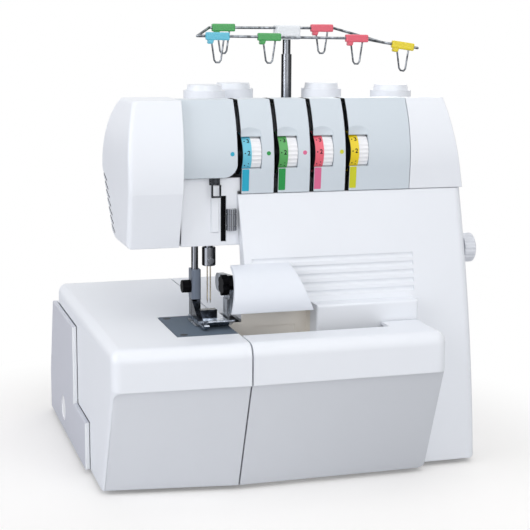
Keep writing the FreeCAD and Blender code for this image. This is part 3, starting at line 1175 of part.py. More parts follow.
def knife_knob():
    x1 = KNIFE_X + KNIFE_T - KNOB_AIR
    x0 = x1 - KNOB_L
    disc = rod_x(x0, x1, KNOB_Y, KNOB_Z, KNOB_R)
    knob = lobed(disc, KNOB_R, KNOB_LOBES, KNOB_SCOOP_R, KNOB_SCOOP_DEEP, x0, x1, KNOB_Y, KNOB_Z)
    return fused([knob, rod_x(x1 - 1, x1 + KNIFE_ARM_W, KNOB_Y, KNOB_Z, KNOB_STUD_R)])


def lower_knife():
    return box(SPLIT_X, SPLIT_X + KNIFE_T, KNIFE_Y0 - 2, KNIFE_Y1, BED_TOP - LOW_KNIFE_H, BED_TOP - SEAM)


def looper(pivot, y, points):
    """Looper arm with its hub and shaft; points (x, z) outline the arm from the hub."""
    x, z = pivot
    arm = prism_y([(x + dx, z + dz) for dx, dz in points], y, y + LOOPER_T)
    hub = rod_y(x, y, y + LOOPER_T * 2, z, LOOPER_HUB_R)
    shaft = rod_y(x, y, LOOPER_WEB_Y + WEB_T + LOOPER_T, z, LOOPER_SHAFT_R)
    return fused([arm, hub, shaft])


def lower_looper():
    return looper(LOW_LOOPER, LOW_LOOPER_Y, LOW_LOOPER_ARM)


def upper_looper():
    return looper(UP_LOOPER, UP_LOOPER_Y, UP_LOOPER_ARM)


# Drive

def main_shaft():
    return rod_x(SHAFT_X0, WIDTH - WHEEL_FACE, SHAFT_Y, SHAFT_Z, SHAFT_R)


def shaft_bearings():
    rings = []
    for x in BEARING_X:
        ring = rod_x(x, x + BEARING_W, SHAFT_Y, SHAFT_Z, BEARING_R)
        rings.append(ring.cut(rod_x(x - 1, x + BEARING_W + 1, SHAFT_Y, SHAFT_Z, SHAFT_R + RUN)))
    return Part.makeCompound(rings)


def flanged_pulley(radius, y, z, bore):
    """Belt pulley with a flange at each side."""
    x1 = PULLEY_X0 + PULLEY_W
    rim = radius + BELT_T + 1
    body = fused([rod_x(PULLEY_X0, x1, y, z, radius), rod_x(PULLEY_X0, PULLEY_X0 + FLANGE_T, y, z, rim),
                  rod_x(x1 - FLANGE_T, x1, y, z, rim)])
    return body.cut(rod_x(PULLEY_X0 - 1, x1 + 1, y, z, bore)) if bore else body


def shaft_pulley():
    return flanged_pulley(PULLEY_R, SHAFT_Y, SHAFT_Z, SHAFT_R)


def motor_pulley():
    """Pulley with the motor shaft."""
    pulley = flanged_pulley(MOTOR_PULLEY_R, MOTOR_Y, MOTOR_Z, 0)
    return fused([pulley, rod_x(MOTOR_X0 + MOTOR_L / 2, PULLEY_X0 + 1, MOTOR_Y, MOTOR_Z, MOTOR_SHAFT_R)])


def loop_between(r_big, r_small, x0, x1):
    """Solid filling the outline of a belt run over both pulleys."""
    span = V(0, MOTOR_Y - SHAFT_Y, MOTOR_Z - SHAFT_Z)
    lean = math.asin((r_big - r_small) / span.Length)
    heading = math.atan2(span.z, span.y)
    corners = []
    for side in (1, -1):
        a = heading + side * (math.pi / 2 - lean)
        n = (math.cos(a), math.sin(a))
        corners.append(((SHAFT_Y + r_big * n[0], SHAFT_Z + r_big * n[1]),
                        (MOTOR_Y + r_small * n[0], MOTOR_Z + r_small * n[1])))
    quad = prism_x([corners[0][0], corners[0][1], corners[1][1], corners[1][0]], x0, x1)
    return fused([quad, rod_x(x0, x1, SHAFT_Y, SHAFT_Z, r_big), rod_x(x0, x1, MOTOR_Y, MOTOR_Z, r_small)])


def drive_belt():
    x0 = PULLEY_X0 + FLANGE_T + BELT_SIDE
    x1 = PULLEY_X0 + PULLEY_W - FLANGE_T - BELT_SIDE
    outer = loop_between(PULLEY_R + BELT_T, MOTOR_PULLEY_R + BELT_T, x0, x1)
    return outer.cut(loop_between(PULLEY_R + RUN, MOTOR_PULLEY_R + RUN, x0 - 1, x1 + 1))


def handwheel():
    x0 = BODY_W + 1
    wheel = fluted(WHEEL_R, WHEEL_FLUTE_DEEP, WHEEL_FLUTES, x0, WIDTH, SHAFT_Y, SHAFT_Z)
    dish = rod_x(WIDTH - WHEEL_FACE, WIDTH + 1, SHAFT_Y, SHAFT_Z, WHEEL_R - WHEEL_RIM)
    boss = rod_x(WIDTH - WHEEL_FACE, WIDTH - 1, SHAFT_Y, SHAFT_Z, SHAFT_R * 2)
    wheel = fused([wheel.cut(dish), boss])
    return wheel.cut(rod_x(0, WIDTH - WHEEL_FACE, SHAFT_Y, SHAFT_Z, SHAFT_R))


def motor():
    x1 = MOTOR_X0 + MOTOR_L
    can = fused([rod_x(MOTOR_X0 + MOTOR_NOSE, x1 - MOTOR_NOSE, MOTOR_Y, MOTOR_Z, MOTOR_R),
                 rod_x(MOTOR_X0, x1, MOTOR_Y, MOTOR_Z, MOTOR_R - MOTOR_STEP)])
    base_top = TRAY_TOP + FRAME_BASE_T
    feet = []
    for x in (MOTOR_X0 + MOTOR_FOOT_IN, x1 - MOTOR_FOOT_IN - MOTOR_FOOT_W):
        feet.append(box(x, x + MOTOR_FOOT_W, MOTOR_Y - MOTOR_R, MOTOR_Y + MOTOR_R, base_top, MOTOR_Z))
    bore = rod_x(MOTOR_X0 + MOTOR_L / 2 - 1, x1 + 1, MOTOR_Y, MOTOR_Z, MOTOR_SHAFT_R + RUN)
    return fused([can] + feet).cut(bore)


# Controls

def side_x(z):
    """Right face at height z."""
    return arc_y((BODY_W, FOOT_H), (COLUMN_MID_X, COLUMN_MID[1]), (COLUMN_TOP_X, COLUMN_TOP), z)


def differential_knob():
    x0 = side_x(KNOB_DIFF_Z) + 1
    x1 = x0 + KNOB_DIFF_OUT
    disc = rod_x(x0, x1, KNOB_DIFF_Y, KNOB_DIFF_Z, KNOB_DIFF_R)
    disc = round_edges(disc, KNOB_DIFF_EDGE_R, lambda c, e: len(e.Vertexes) == 1 and c.x > x1 - 0.01)
    knob = lobed(disc, KNOB_DIFF_R, KNOB_DIFF_LOBES, KNOB_DIFF_SCOOP_R, KNOB_DIFF_SCOOP_DEEP, x0, x1,
                 KNOB_DIFF_Y, KNOB_DIFF_Z)
    stub = rod_x(x0 - 1 - 4 * WALL, x0 + 1, KNOB_DIFF_Y, KNOB_DIFF_Z, KNOB_STEM_R)
    return fused([knob, stub])


def power_inlet():
    """Appliance inlet with two pins in a deep socket."""
    face = side_x(INLET_Z)
    y0 = CONTROL_Y - INLET_W / 2
    z0 = INLET_Z - INLET_H / 2
    rim = INLET_WALL
    deep = face - INLET_DEEP
    shell = box(deep - rim, face + 1, y0, y0 + INLET_W, z0, z0 + INLET_H)
    shell = shell.cut(box(deep, face + 2, y0 + rim, y0 + INLET_W - rim, z0 + rim, z0 + INLET_H - rim))
    half = INLET_PIN_GAP / 2
    pins = [rod_x(deep - 1, face - INLET_PIN_IN, y, INLET_Z, INLET_PIN_R)
            for y in (CONTROL_Y - half, CONTROL_Y + half)]
    return fused([shell] + pins)


def power_switch():
    """Rocker with a pivot stud at each end."""
    x = side_x(SWITCH_Z) - WALL / 2
    y0 = CONTROL_Y - SWITCH_W / 2 + COVER_PLAY
    y1 = CONTROL_Y + SWITCH_W / 2 - COVER_PLAY
    half = SWITCH_H / 2 - SWITCH_PLAY
    tip = x + SWITCH_OUT
    low = SWITCH_Z - half
    high = SWITCH_Z + half
    rocker = prism_y([(x - WALL, low), (tip, low), (tip - SWITCH_DIP, SWITCH_Z), (tip, high),
                      (x - WALL, high)], y0, y1)
    return fused([rocker, rod_y(x, y0 - 2, y1 + 2, SWITCH_Z, SWITCH_STUD_R)])


# Tension dials

def tension_dial(i):
    x0 = SLOT_X + i * SLOT_PITCH + SLOT_W / 2 + SEAM
    band = rod_x(x0, x0 + DIAL_BAND, DIAL_Y, DIAL_Z, DIAL_R)
    grip = fluted(DIAL_R, DIAL_FLUTE_DEEP, DIAL_FLUTES, x0 + DIAL_BAND, x0 + DIAL_W, DIAL_Y, DIAL_Z)
    return fused([band, grip]).cut(rod_x(0, FAR, DIAL_Y, DIAL_Z, DIAL_AXLE_R + RUN))


def dial_axle():
    return rod_x(AXLE_X[0], AXLE_X[1] + AXLE_LUG, DIAL_Y, DIAL_Z, DIAL_AXLE_R)


def wire(points, r):
    """Bent wire of straight runs with round knees."""
    places = [V(*p) for p in points]
    runs = [bar(a, b, r) for a, b in zip(places, places[1:])]
    knees = [Part.makeSphere(r, p) for p in places]
    return fused(runs + knees)


def thread_guides():
    """Bent wire eye and grooved barrel on the arm's front wall."""
    y0 = ARM_FRONT_Y
    y = y0 - EYE_OUT
    x1 = EYE_X + EYE_W
    top = EYE_Z + EYE_H
    bend = [(EYE_X, y0 - HOOK_R, top), (EYE_X, y, top), (EYE_X, y, EYE_Z), (x1, y, EYE_Z), (x1, y, top - 2)]
    plate = box(EYE_X - 1, x1 + 1, y0 - 2 * HOOK_R, y0, top - 2, top + 3)
    eye = fused([wire(bend, HOOK_R), plate])
    high = BARREL_LOW + BARREL_H
    barrel = rod_z(BARREL_X, BARREL_Y, BARREL_LOW, high, BARREL_R)
    for z in (BARREL_LOW + BARREL_CAP, high - BARREL_CAP - BARREL_GROOVE):
        ring = rod_z(BARREL_X, BARREL_Y, z, z + BARREL_GROOVE, BARREL_R + 1)
        barrel = barrel.cut(ring.cut(rod_z(BARREL_X, BARREL_Y, 0, FAR, BARREL_R - BARREL_GROOVE)))
    return Part.makeCompound([eye, barrel.common(box(0, FAR, 0, y0, 0, FAR))])


# Spool stand

def spool_stand():
    x0, x1, y0, y1 = STAND_X0, STAND_X1, STAND_Y0, STAND_Y1
    plate = box(x0, x1, y0, y1, DECK_Z, DECK_Z + STAND_T)
    plate = round_edges(plate, STAND_CORNER_R, lambda c, e: abs(c.z - DECK_Z - STAND_T / 2) < 0.01)
    bosses = [rod_z(x, y, DECK_Z, DECK_Z + STAND_T * 2, PIN_R * 2.4) for x, y in SPOOLS]
    collar = rod_z(POST_X, POST_Y, DECK_Z, DECK_Z + STAND_T * 3, POST_R * 1.7)
    plate = fused([plate, collar] + bosses)
    for x, y in SPOOLS:
        plate = plate.cut(rod_z(x, y, DECK_Z + STAND_T, FAR, PIN_R))
    return plate.cut(rod_z(POST_X, POST_Y, 0, FAR, POST_R))


def spool_pins():
    high = SPOOL_TOP - HOLDER_CAP_T
    return Part.makeCompound([rod_z(x, y, DECK_Z + STAND_T, high, PIN_R) for x, y in SPOOLS])


def spool_holders():
    """Cone holders: stem, wide flange and a narrower cap, pushed on the pins."""
    holders = []
    low = SPOOL_STEP - SPOOL_FLANGE_H
    for x, y in SPOOLS:
        stem = rod_z(x, y, DECK_Z + STAND_T * 2, low + 1, HOLDER_STEM_R)
        flange = rod_z(x, y, low, SPOOL_STEP, HOLDER_FLANGE_R)
        cap = Part.makeCone(HOLDER_CAP_R, HOLDER_CAP_R - 1, SPOOL_TOP - SPOOL_STEP, V(x, y, SPOOL_STEP))
        body = fused([stem, flange, cap])
        holders.append(body.cut(rod_z(x, y, 0, SPOOL_TOP - HOLDER_CAP_T, PIN_R)))
    return Part.makeCompound(holders)


def post_lower():
    tube = rod_z(POST_X, POST_Y, POST_LOW, POST_TOP, POST_R)
    return tube.cut(rod_z(POST_X, POST_Y, POST_LOW - 1, POST_TOP + 1, POST_R - POST_WALL))


def post_upper():
    return rod_z(POST_X, POST_Y, POST_IN_LOW, POST_IN_TOP, POST_R - POST_WALL - RUN)


@functools.lru_cache
def guide_rail():
    """Closed rail of bent wire with a tail at the right."""
    ring = [RAIL_LEFT, RAIL_REAR_L, RAIL_REAR_R, RAIL_JOIN, RAIL_FRONT, RAIL_FRONT_L, RAIL_LEFT]
    return fused([wire(ring, RAIL_R), wire([RAIL_JOIN, RAIL_RIGHT], RAIL_R)])


def guide_holder():
    """Head on the post that grips the rear run of the rail."""
    low = POST_IN_TOP - HOLDER_GRIP
    top = RAIL_REAR_L[2] + RAIL_R * 2
    block = box(POST_X - GUIDE_W / 2, POST_X + GUIDE_W / 2, POST_Y - GUIDE_D / 2, POST_Y + GUIDE_D / 2,
                low, top)
    block = block.makeFillet(CLIP_EDGE_R, block.Edges)
    block = block.cut(rod_z(POST_X, POST_Y, 0, POST_IN_TOP, POST_R - POST_WALL - RUN))
    return block.cut(guide_rail())


def along(start, end, share, length):
    """Two ends of a clip set on a rail run, its middle at the given share of the run."""
    a = V(*start)
    b = V(*end)
    axis = (b - a).normalize()
    middle = a + (b - a) * share
    return middle - axis * (length / 2), middle + axis * (length / 2)


def clip(start, end, share):
    """Moulded clip around the rail."""
    a, b = along(start, end, share, CLIP_L)
    block = box(0, CLIP_L, -CLIP_W / 2, CLIP_W / 2, -CLIP_H / 2, CLIP_H / 2)
    block = block.makeFillet(CLIP_EDGE_R, block.Edges)
    block.Placement = FreeCAD.Placement(a, FreeCAD.Rotation(V(1, 0, 0), b - a))
    return block


def hook_path(start, end, share):
    """Points of one hanging thread hook: down from the clip, round the bottom and back up."""
    a, b = along(start, end, share, HOOK_W)
    low_a, low_b = along(start, end, share, HOOK_BOTTOM_W)
    turn_a, turn_b = along(start, end, share, HOOK_BOTTOM_W / 2)
    side = V(0, 0, HOOK_BEND - HOOK_DROP)
    bottom = V(0, 0, -HOOK_DROP)
    return [tuple(p) for p in (a, low_a + side, turn_a + bottom, turn_b + bottom, low_b + side, b)]


CLIPS = {"blue": ((RAIL_FRONT_L, RAIL_FRONT, 0.04),),
         "green": ((RAIL_REAR_L, RAIL_REAR_R, 0.11), (RAIL_FRONT_L, RAIL_FRONT, 0.375)),
         "pink": ((RAIL_REAR_L, RAIL_REAR_R, 0.9), (RAIL_FRONT_L, RAIL_FRONT, 0.96)),
         "yellow": ((RAIL_JOIN, RAIL_RIGHT, 0.556),)}


@functools.lru_cache
def thread_hooks():
    places = [place for group in CLIPS.values() for place in group]
    return Part.makeCompound([wire(hook_path(*place), HOOK_R).cut(guide_rail()) for place in places])


def rail_clips(colour):
    solids = []
    for place in CLIPS[colour]:
        solids.append(clip(*place).cut(guide_rail()).cut(thread_hooks()))
    return Part.makeCompound(solids)


NODES = {
    "base_tray": base_tray,
    "rubber_feet": rubber_feet,
    "left_side_panel": left_side_panel,
    "bed_cover": bed_cover,
    "looper_cover": looper_cover,
    "column_cover": column_cover,
    "rear_cover": rear_cover,
    "tension_panel": tension_panel,
    "face_cover": face_cover,
    "arm_cover": arm_cover,
    "finger_guard": finger_guard,
    "looper_backplate": looper_backplate,
    "machine_frame": machine_frame,
    "needle_plate": needle_plate,
    "plate_screws": plate_screws,
    "feed_dogs": feed_dogs,
    "needle_bar": needle_bar,
    "needle_clamp": needle_clamp,
    "needles": needles,
    "bar_bushes": bar_bushes,
    "presser_bar": presser_bar,
    "presser_spring": presser_spring,
    "foot_holder": foot_holder,
    "presser_foot": presser_foot,
    "foot_screw": foot_screw,
    "presser_lifter": presser_lifter,
    "upper_knife": upper_knife,
    "upper_knife_arm": upper_knife_arm,
    "knife_knob": knife_knob,
    "lower_knife": lower_knife,
    "upper_looper": upper_looper,
    "lower_looper": lower_looper,
    "main_shaft": main_shaft,
    "shaft_bearings": shaft_bearings,
    "shaft_pulley": shaft_pulley,
    "handwheel": handwheel,
    "drive_belt": drive_belt,
    "motor": motor,
    "motor_pulley": motor_pulley,
    "differential_knob": differential_knob,
    "power_inlet": power_inlet,
    "power_switch": power_switch,
    "tension_dial_blue": lambda: tension_dial(0),
    "tension_dial_green": lambda: tension_dial(1),
    "tension_dial_pink": lambda: tension_dial(2),
    "tension_dial_yellow": lambda: tension_dial(3),
    "dial_axle": dial_axle,
    "thread_guides": thread_guides,
    "spool_stand": spool_stand,
    "spool_pins": spool_pins,
    "spool_holders": spool_holders,
    "post_lower": post_lower,
    "post_upper": post_upper,
    "guide_holder": guide_holder,
    "guide_rail": guide_rail,
    "thread_hooks": thread_hooks,
    "clip_blue": lambda: rail_clips("blue"),
    "clips_green": lambda: rail_clips("green"),
    "clips_pink": lambda: rail_clips("pink"),
    "clip_yellow": lambda: rail_clips("yellow"),
}

os.makedirs("parts", exist_ok=True)
for name, make in NODES.items():
    shape = make().copy()
    shape.translate(ORIGIN * -1)
    shape.exportStep("parts/" + name + ".step")
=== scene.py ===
import math

import bmesh
import bpy
from mathutils import Matrix, Vector


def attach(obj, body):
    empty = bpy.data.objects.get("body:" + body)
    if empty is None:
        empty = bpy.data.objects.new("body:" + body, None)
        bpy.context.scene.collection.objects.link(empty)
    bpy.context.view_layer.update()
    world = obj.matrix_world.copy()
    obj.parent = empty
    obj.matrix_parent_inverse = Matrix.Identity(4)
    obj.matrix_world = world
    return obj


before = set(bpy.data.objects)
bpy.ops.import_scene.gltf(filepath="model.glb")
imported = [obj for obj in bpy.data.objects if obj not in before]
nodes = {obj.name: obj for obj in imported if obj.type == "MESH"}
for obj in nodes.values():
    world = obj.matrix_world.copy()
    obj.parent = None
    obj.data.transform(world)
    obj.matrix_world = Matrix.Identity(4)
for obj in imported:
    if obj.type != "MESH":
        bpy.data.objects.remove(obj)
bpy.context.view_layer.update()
scene = bpy.context.scene
scene.view_settings.view_transform = "Standard"

# Places are in millimetres, counted from the left side, the front lip and the table.
MM = 0.001
ORIGIN = {"X": 168.0, "Y": 150.0, "Z": 0.0}


def at(x, y, z):
    """Point of the frame, in metres."""
    return Vector(((x - ORIGIN["X"]) * MM, (y - ORIGIN["Y"]) * MM, (z - ORIGIN["Z"]) * MM))


def linear(rgb):
    """Screen colour 0 to 255 as a linear colour."""
    out = []
    for v in rgb:
        c = v / 255.0
        out.append(c / 12.92 if c <= 0.04045 else ((c + 0.055) / 1.055) ** 2.4)
    return out


def shades(rgb, vary):
    """Dark and light form of a screen colour, linear."""
    base = linear(rgb)
    return [c * (1 - vary) for c in base], [min(1.0, c * (1 + vary)) for c in base]


# Nodes

def fresh(name):
    mat = bpy.data.materials.new(name)
    mat.use_nodes = True
    tree = mat.node_tree
    tree.nodes.clear()
    return mat, tree


def add(tree, kind, **inputs):
    """New node with plain values on its inputs."""
    node = tree.nodes.new(kind)
    for key, value in inputs.items():
        node.inputs[key.replace("_", " ")].default_value = value
    return node


def feed(tree, socket, value):
    """Link an input to a socket, or set it to a plain value."""
    if isinstance(value, bpy.types.NodeSocket):
        tree.links.new(value, socket)
    else:
        socket.default_value = value


def maths(tree, operation, a, b):
    node = tree.nodes.new("ShaderNodeMath")
    node.operation = operation
    feed(tree, node.inputs[0], a)
    feed(tree, node.inputs[1], b)
    return node.outputs["Value"]


def vectors(tree, operation, a, b, output="Vector"):
    node = tree.nodes.new("ShaderNodeVectorMath")
    node.operation = operation
    feed(tree, node.inputs[0], a)
    feed(tree, node.inputs[1], b)
    return node.outputs[output]


def part_of(tree, vector, axis):
    split = tree.nodes.new("ShaderNodeSeparateXYZ")
    tree.links.new(vector, split.inputs["Vector"])
    return split.outputs[axis]


def noise(tree, coords, scale, detail, stretch=None):
    """Noise on the piece's own coordinates, which move with it."""
    source = coords.outputs["Object"]
    if stretch:
        mapping = add(tree, "ShaderNodeMapping", Scale=stretch)
        tree.links.new(source, mapping.inputs["Vector"])
        source = mapping.outputs["Vector"]
    node = add(tree, "ShaderNodeTexNoise", Scale=scale, Detail=detail)
    tree.links.new(source, node.inputs["Vector"])
    return node.outputs["Fac"]


def blend_colours(tree, fac, a, b):
    mix = tree.nodes.new("ShaderNodeMix")
    mix.data_type = "RGBA"
    for name, value in (("A", a), ("B", b)):
        socket = [s for s in mix.inputs if s.name == name and s.type == "RGBA"][0]
        feed(tree, socket, value if isinstance(value, bpy.types.NodeSocket) else list(value) + [1.0])
    tree.links.new(fac, mix.inputs[0])
    return [s for s in mix.outputs if s.type == "RGBA"][0]


def blend_shades(tree, mask, around, inside, vary):
    """Dark and light form of a surface on which a mask parts two colours."""
    return [blend_colours(tree, mask, a, b) for a, b in zip(shades(around, vary), shades(inside, vary))]


def spread(tree, value, low, high, start=0.25, end=0.75):
    """Value between start and end, laid out from low to high."""
    node = add(tree, "ShaderNodeMapRange", From_Min=start, From_Max=end, To_Min=low, To_Max=high)
    tree.links.new(value, node.inputs["Value"])
    return node.outputs["Result"]


def above(tree, coords, axis, place, soft):
    """0 below a place along one axis of the piece, 1 above it."""
    middle = (place - ORIGIN[axis]) * MM
    return spread(tree, part_of(tree, coords.outputs["Object"], axis), 0.0, 1.0, middle - soft * MM,
                  middle + soft * MM)


def below(tree, coords, axis, place, soft):
    """1 below a place along one axis of the piece, 0 above it."""
    return maths(tree, "SUBTRACT", 1.0, above(tree, coords, axis, place, soft))


def all_of(tree, masks):
    total = masks[0]
    for mask in masks[1:]:
        total = maths(tree, "MULTIPLY", total, mask)
    return total


# Materials

CLOUD_DETAIL = 4.0
GRAIN_DETAIL = 2.0
GRAIN_DEPTH = 0.2 * MM
ROUGH_SWING = 0.05
LEAST_ROUGH = 0.02
EDGE_SAMPLES = 4


def surface(name, colour, rough, metallic=0.0, vary=0.03, cloud=35.0, grain=1600.0, bump=0.05, stretch=None,
            edge=0.0, coat=0.0, contrast=0.0, specular=0.5):
    """Moulded, painted or metal surface: cloudy colour, uneven gloss and a fine grain in the normal.

    The colour is a screen colour, or a function that gives its dark and its light form.
    """
    mat, tree = fresh(name)
    links = tree.links
    coords = tree.nodes.new("ShaderNodeTexCoord")
    shader = add(tree, "ShaderNodeBsdfPrincipled", Metallic=metallic, Coat_Weight=coat,
                 Specular_IOR_Level=specular)
    out = tree.nodes.new("ShaderNodeOutputMaterial")
    links.new(shader.outputs["BSDF"], out.inputs["Surface"])
    share = noise(tree, coords, cloud, CLOUD_DETAIL, stretch)
    if contrast:
        share = spread(tree, share, 0.0, 1.0, 0.5 - contrast, 0.5 + contrast)
    dark, light = colour(tree, coords, vary) if callable(colour) else shades(colour, vary)
    links.new(blend_colours(tree, share, dark, light), shader.inputs["Base Color"])
    fine = noise(tree, coords, grain, GRAIN_DETAIL, stretch)
    gloss = spread(tree, fine, max(LEAST_ROUGH, rough - ROUGH_SWING), rough + ROUGH_SWING)
    links.new(gloss, shader.inputs["Roughness"])
    relief = add(tree, "ShaderNodeBump", Strength=bump, Distance=GRAIN_DEPTH)
    links.new(fine, relief.inputs["Height"])
    if edge:
        rounded = add(tree, "ShaderNodeBevel", Radius=edge)
        rounded.samples = EDGE_SAMPLES
        links.new(rounded.outputs["Normal"], relief.inputs["Normal"])
    links.new(relief.outputs["Normal"], shader.inputs["Normal"])
    return mat


def dial_tone(band, start):
    """A dark side, a coloured band at the left and a white grip at the right."""
    dark_side, grip = (20, 21, 23), (244, 244, 246)
    side_thick, side_soft, band_soft = 0.2, 0.03, 0.05

    def colour(tree, coords, vary):
        ring = above(tree, coords, "X", start + side_thick, side_soft)
        right = above(tree, coords, "X", start + DIAL_BAND, band_soft)
        return [blend_colours(tree, ring, linear(dark_side), tone)
                for tone in blend_shades(tree, right, band, grip, vary)]
    return colour


def slotted(around, inside):
    """Panel colours, with painted shade on the walls of its slots."""
    half = SLOT_HALF + 0.04
    margin, soft = 4.0, 0.1
    last = SLOT_X + (SLOT_COUNT - 1) * SLOT_PITCH

    def colour(tree, coords, vary):
        shift = maths(tree, "SUBTRACT", part_of(tree, coords.outputs["Object"], "X"), at(SLOT_X, 0, 0).x)
        nearest = maths(tree, "PINGPONG", shift, SLOT_PITCH * MM / 2)
        wall = spread(tree, nearest, 1.0, 0.0, half * MM, (half + soft) * MM)
        mask = all_of(tree, (wall, above(tree, coords, "X", SLOT_X - margin, soft),
                             below(tree, coords, "X", last + margin, soft)))
        return blend_shades(tree, mask, around, inside, vary)
    return colour


def round_the_axis(x, y, stops, wobble=0.02):
    """Painted light and dark reflection streaks down a round bar, set out by the angle round its upright axis."""
    drift_scale, drift_stretch = 90.0, (1, 1, 0.3)
    tint = (0.97, 0.99, 1.03)

    def colour(tree, coords, vary):
        place = at(x, y, 0)
        mapping = add(tree, "ShaderNodeMapping", Location=(-place.x, -place.y, 0.0))
        tree.links.new(coords.outputs["Object"], mapping.inputs["Vector"])
        sweep = tree.nodes.new("ShaderNodeTexGradient")
        sweep.gradient_type = "RADIAL"
        tree.links.new(mapping.outputs["Vector"], sweep.inputs["Vector"])
        drift = noise(tree, coords, drift_scale, GRAIN_DETAIL, drift_stretch)
        ramp = tree.nodes.new("ShaderNodeValToRGB")
        feed(tree, ramp.inputs["Fac"],
             maths(tree, "ADD", sweep.outputs["Fac"], spread(tree, drift, -wobble, wobble)))
        points = ramp.color_ramp.elements
        while len(points) < len(stops):
            points.new(0.5)
        for point, (share, tone) in zip(points, stops):
            point.position = share
            point.color = linear([min(255.0, tone * t) for t in tint]) + [1.0]
        return [ramp.outputs["Color"], ramp.outputs["Color"]]
    return colour


def guide_tone(barrel, wire, place):
    """Dark wire eye at the left of a place, barrel with painted reflection streaks at the right."""
    dimmed, lit, soft = 0.7, 1.5, 0.1

    def colour(tree, coords, vary):
        fac = above(tree, coords, "X", place, soft)
        low, high = barrel(tree, coords, vary)
        return [blend_colours(tree, fac, [c * dimmed for c in linear(wire)], low),
                blend_colours(tree, fac, [c * lit for c in linear(wire)], high)]
    return colour


def louvre_tone(around, inside):
    """Casing colours, with painted shade inside the slanting louvres of the head."""
    lean = math.radians(20.0)
    along = (0.0, math.cos(lean), math.sin(lean))
    across = (0.0, -math.sin(lean), math.cos(lean))
    start = at(0, 184.24, 240.94)
    pitch = 4.168 * MM
    shear = 1.768
    count = 8
    half, half_soft = 1.12 * MM, 0.08 * MM
    margin, fade = 1.3 * MM, 0.1 * MM
    run_from, run_to = -24.1 * MM, 6.5 * MM
    left, left_soft = 31.45, 0.25
    right, right_soft = 47.1, 0.02
    last = -(count - 1) * pitch

    def colour(tree, coords, vary):
        local = vectors(tree, "SUBTRACT", coords.outputs["Object"], (0.0, start.y, start.z))
        high = vectors(tree, "DOT_PRODUCT", local, across, "Value")
        run = vectors(tree, "DOT_PRODUCT", local, [a - shear * b for a, b in zip(along, across)], "Value")
        nearest = maths(tree, "PINGPONG", high, pitch / 2)
        mask = all_of(tree, (spread(tree, nearest, 1.0, 0.0, half, half + half_soft),
                             spread(tree, high, 0.0, 1.0, last - margin - fade, last - margin),
                             spread(tree, high, 1.0, 0.0, margin, margin + fade),
                             spread(tree, run, 0.0, 1.0, run_from - fade, run_from),
                             spread(tree, run, 1.0, 0.0, run_to, run_to + fade),
                             above(tree, coords, "X", left, left_soft),
                             below(tree, coords, "X", right, right_soft)))
        return blend_shades(tree, mask, around, inside, vary)
    return colour


def round_patch(around, inside, y, z, radius):
    """One colour, and another in a circle that is seen from the side."""
    soft = 0.3
    middle = at(0, y, z)

    def colour(tree, coords, vary):
        flat = vectors(tree, "MULTIPLY", coords.outputs["Object"], (0.0, 1.0, 1.0))
        away = vectors(tree, "DISTANCE", flat, (0.0, middle.y, middle.z), "Value")
        mask = spread(tree, away, 1.0, 0.0, (radius - soft) * MM, (radius + soft) * MM)
        return blend_shades(tree, mask, around, inside, vary)
    return colour


def front_edges(base, pale):
    """Colours of another tone, with a painted lighter tone on the faces that look to the front, where the light
    falls.
    """
    full, none = -0.5, -0.3

    def colour(tree, coords, vary):
        mask = spread(tree, part_of(tree, coords.outputs["Normal"], "Y"), 1.0, 0.0, full, none)
        return [blend_colours(tree, mask, tone, linear(pale)) for tone in base(tree, coords, vary)]
    return colour


def foot_tone(sole, ankle):
    """Bright sole and toes, dark ankle and block behind them."""
    ankle_z, ankle_y, soft = 130.5, 66.0, 0.3

    def colour(tree, coords, vary):
        mask = all_of(tree, (above(tree, coords, "Z", ankle_z, soft), above(tree, coords, "Y", ankle_y, soft)))
        return [blend_colours(tree, mask, a, b) for a, b in zip(shades(sole, vary), shades(ankle, 2 * vary))]
    return colour


def skirt_tone(top, left, right):
    """Casing colours with painted shade on the skirt under the front lip, which deepens to the right."""
    lip_z, lip_soft = 93.9, 0.4
    front_y, front_soft = 56.0, 3.0
    corner_x, corner_soft = 7.5, 1.5
    run_x, run_soft = 138.0, 130.0

    def colour(tree, coords, vary):
        mask = all_of(tree, (below(tree, coords, "Z", lip_z, lip_soft),
                             below(tree, coords, "Y", front_y, front_soft),
                             above(tree, coords, "X", corner_x, corner_soft)))
        run = above(tree, coords, "X", run_x, run_soft)
        skirt = blend_shades(tree, run, left, right, vary)
        return [blend_colours(tree, mask, a, b) for a, b in zip(shades(top, vary), skirt)]
    return colour


WHITE = (240, 243, 248)
PANEL_GREY = (211, 220, 227)
# Grey of the left side panel, darker than the casing as painted shade
SIDE_SHADE_GREY = (207, 209, 218)
COLOURS = ("blue", "green", "pink", "yellow")
CLIPS = {"blue": (96, 192, 216), "green": (66, 162, 84), "pink": (233, 98, 116), "yellow": (232, 210, 22)}
DIALS = {"blue": (104, 196, 220), "green": (84, 168, 88), "pink": (236, 100, 118), "yellow": (238, 210, 20)}
STRIPS = {"blue": (20, 168, 198), "green": (16, 146, 64), "pink": (222, 104, 146), "yellow": (206, 206, 22)}

SLOT_X = 121.3
SLOT_PITCH = 30.1
SLOT_HALF = 1.7
SLOT_COUNT = 4
DIAL_X0 = SLOT_X + SLOT_HALF + 0.5
DIAL_R = 16.5
DIAL_BAND = 7.4
DIAL_AXIS = (93.2, 260.3)
DIAL_STEP = 35.0
DIAL_SHIFT = 4.5

# Painted reflection and shade round a turned bar: dark edge, bright streak, mid grey and a dark far side
TUBE_REFLECTION = ((0.0, 12), (0.085, 15), (0.12, 150), (0.14, 240), (0.165, 190), (0.19, 135), (0.24, 125), (0.29, 90),
        (0.335, 45), (0.45, 90), (0.6, 165), (0.75, 90), (0.9, 40), (1.0, 12))
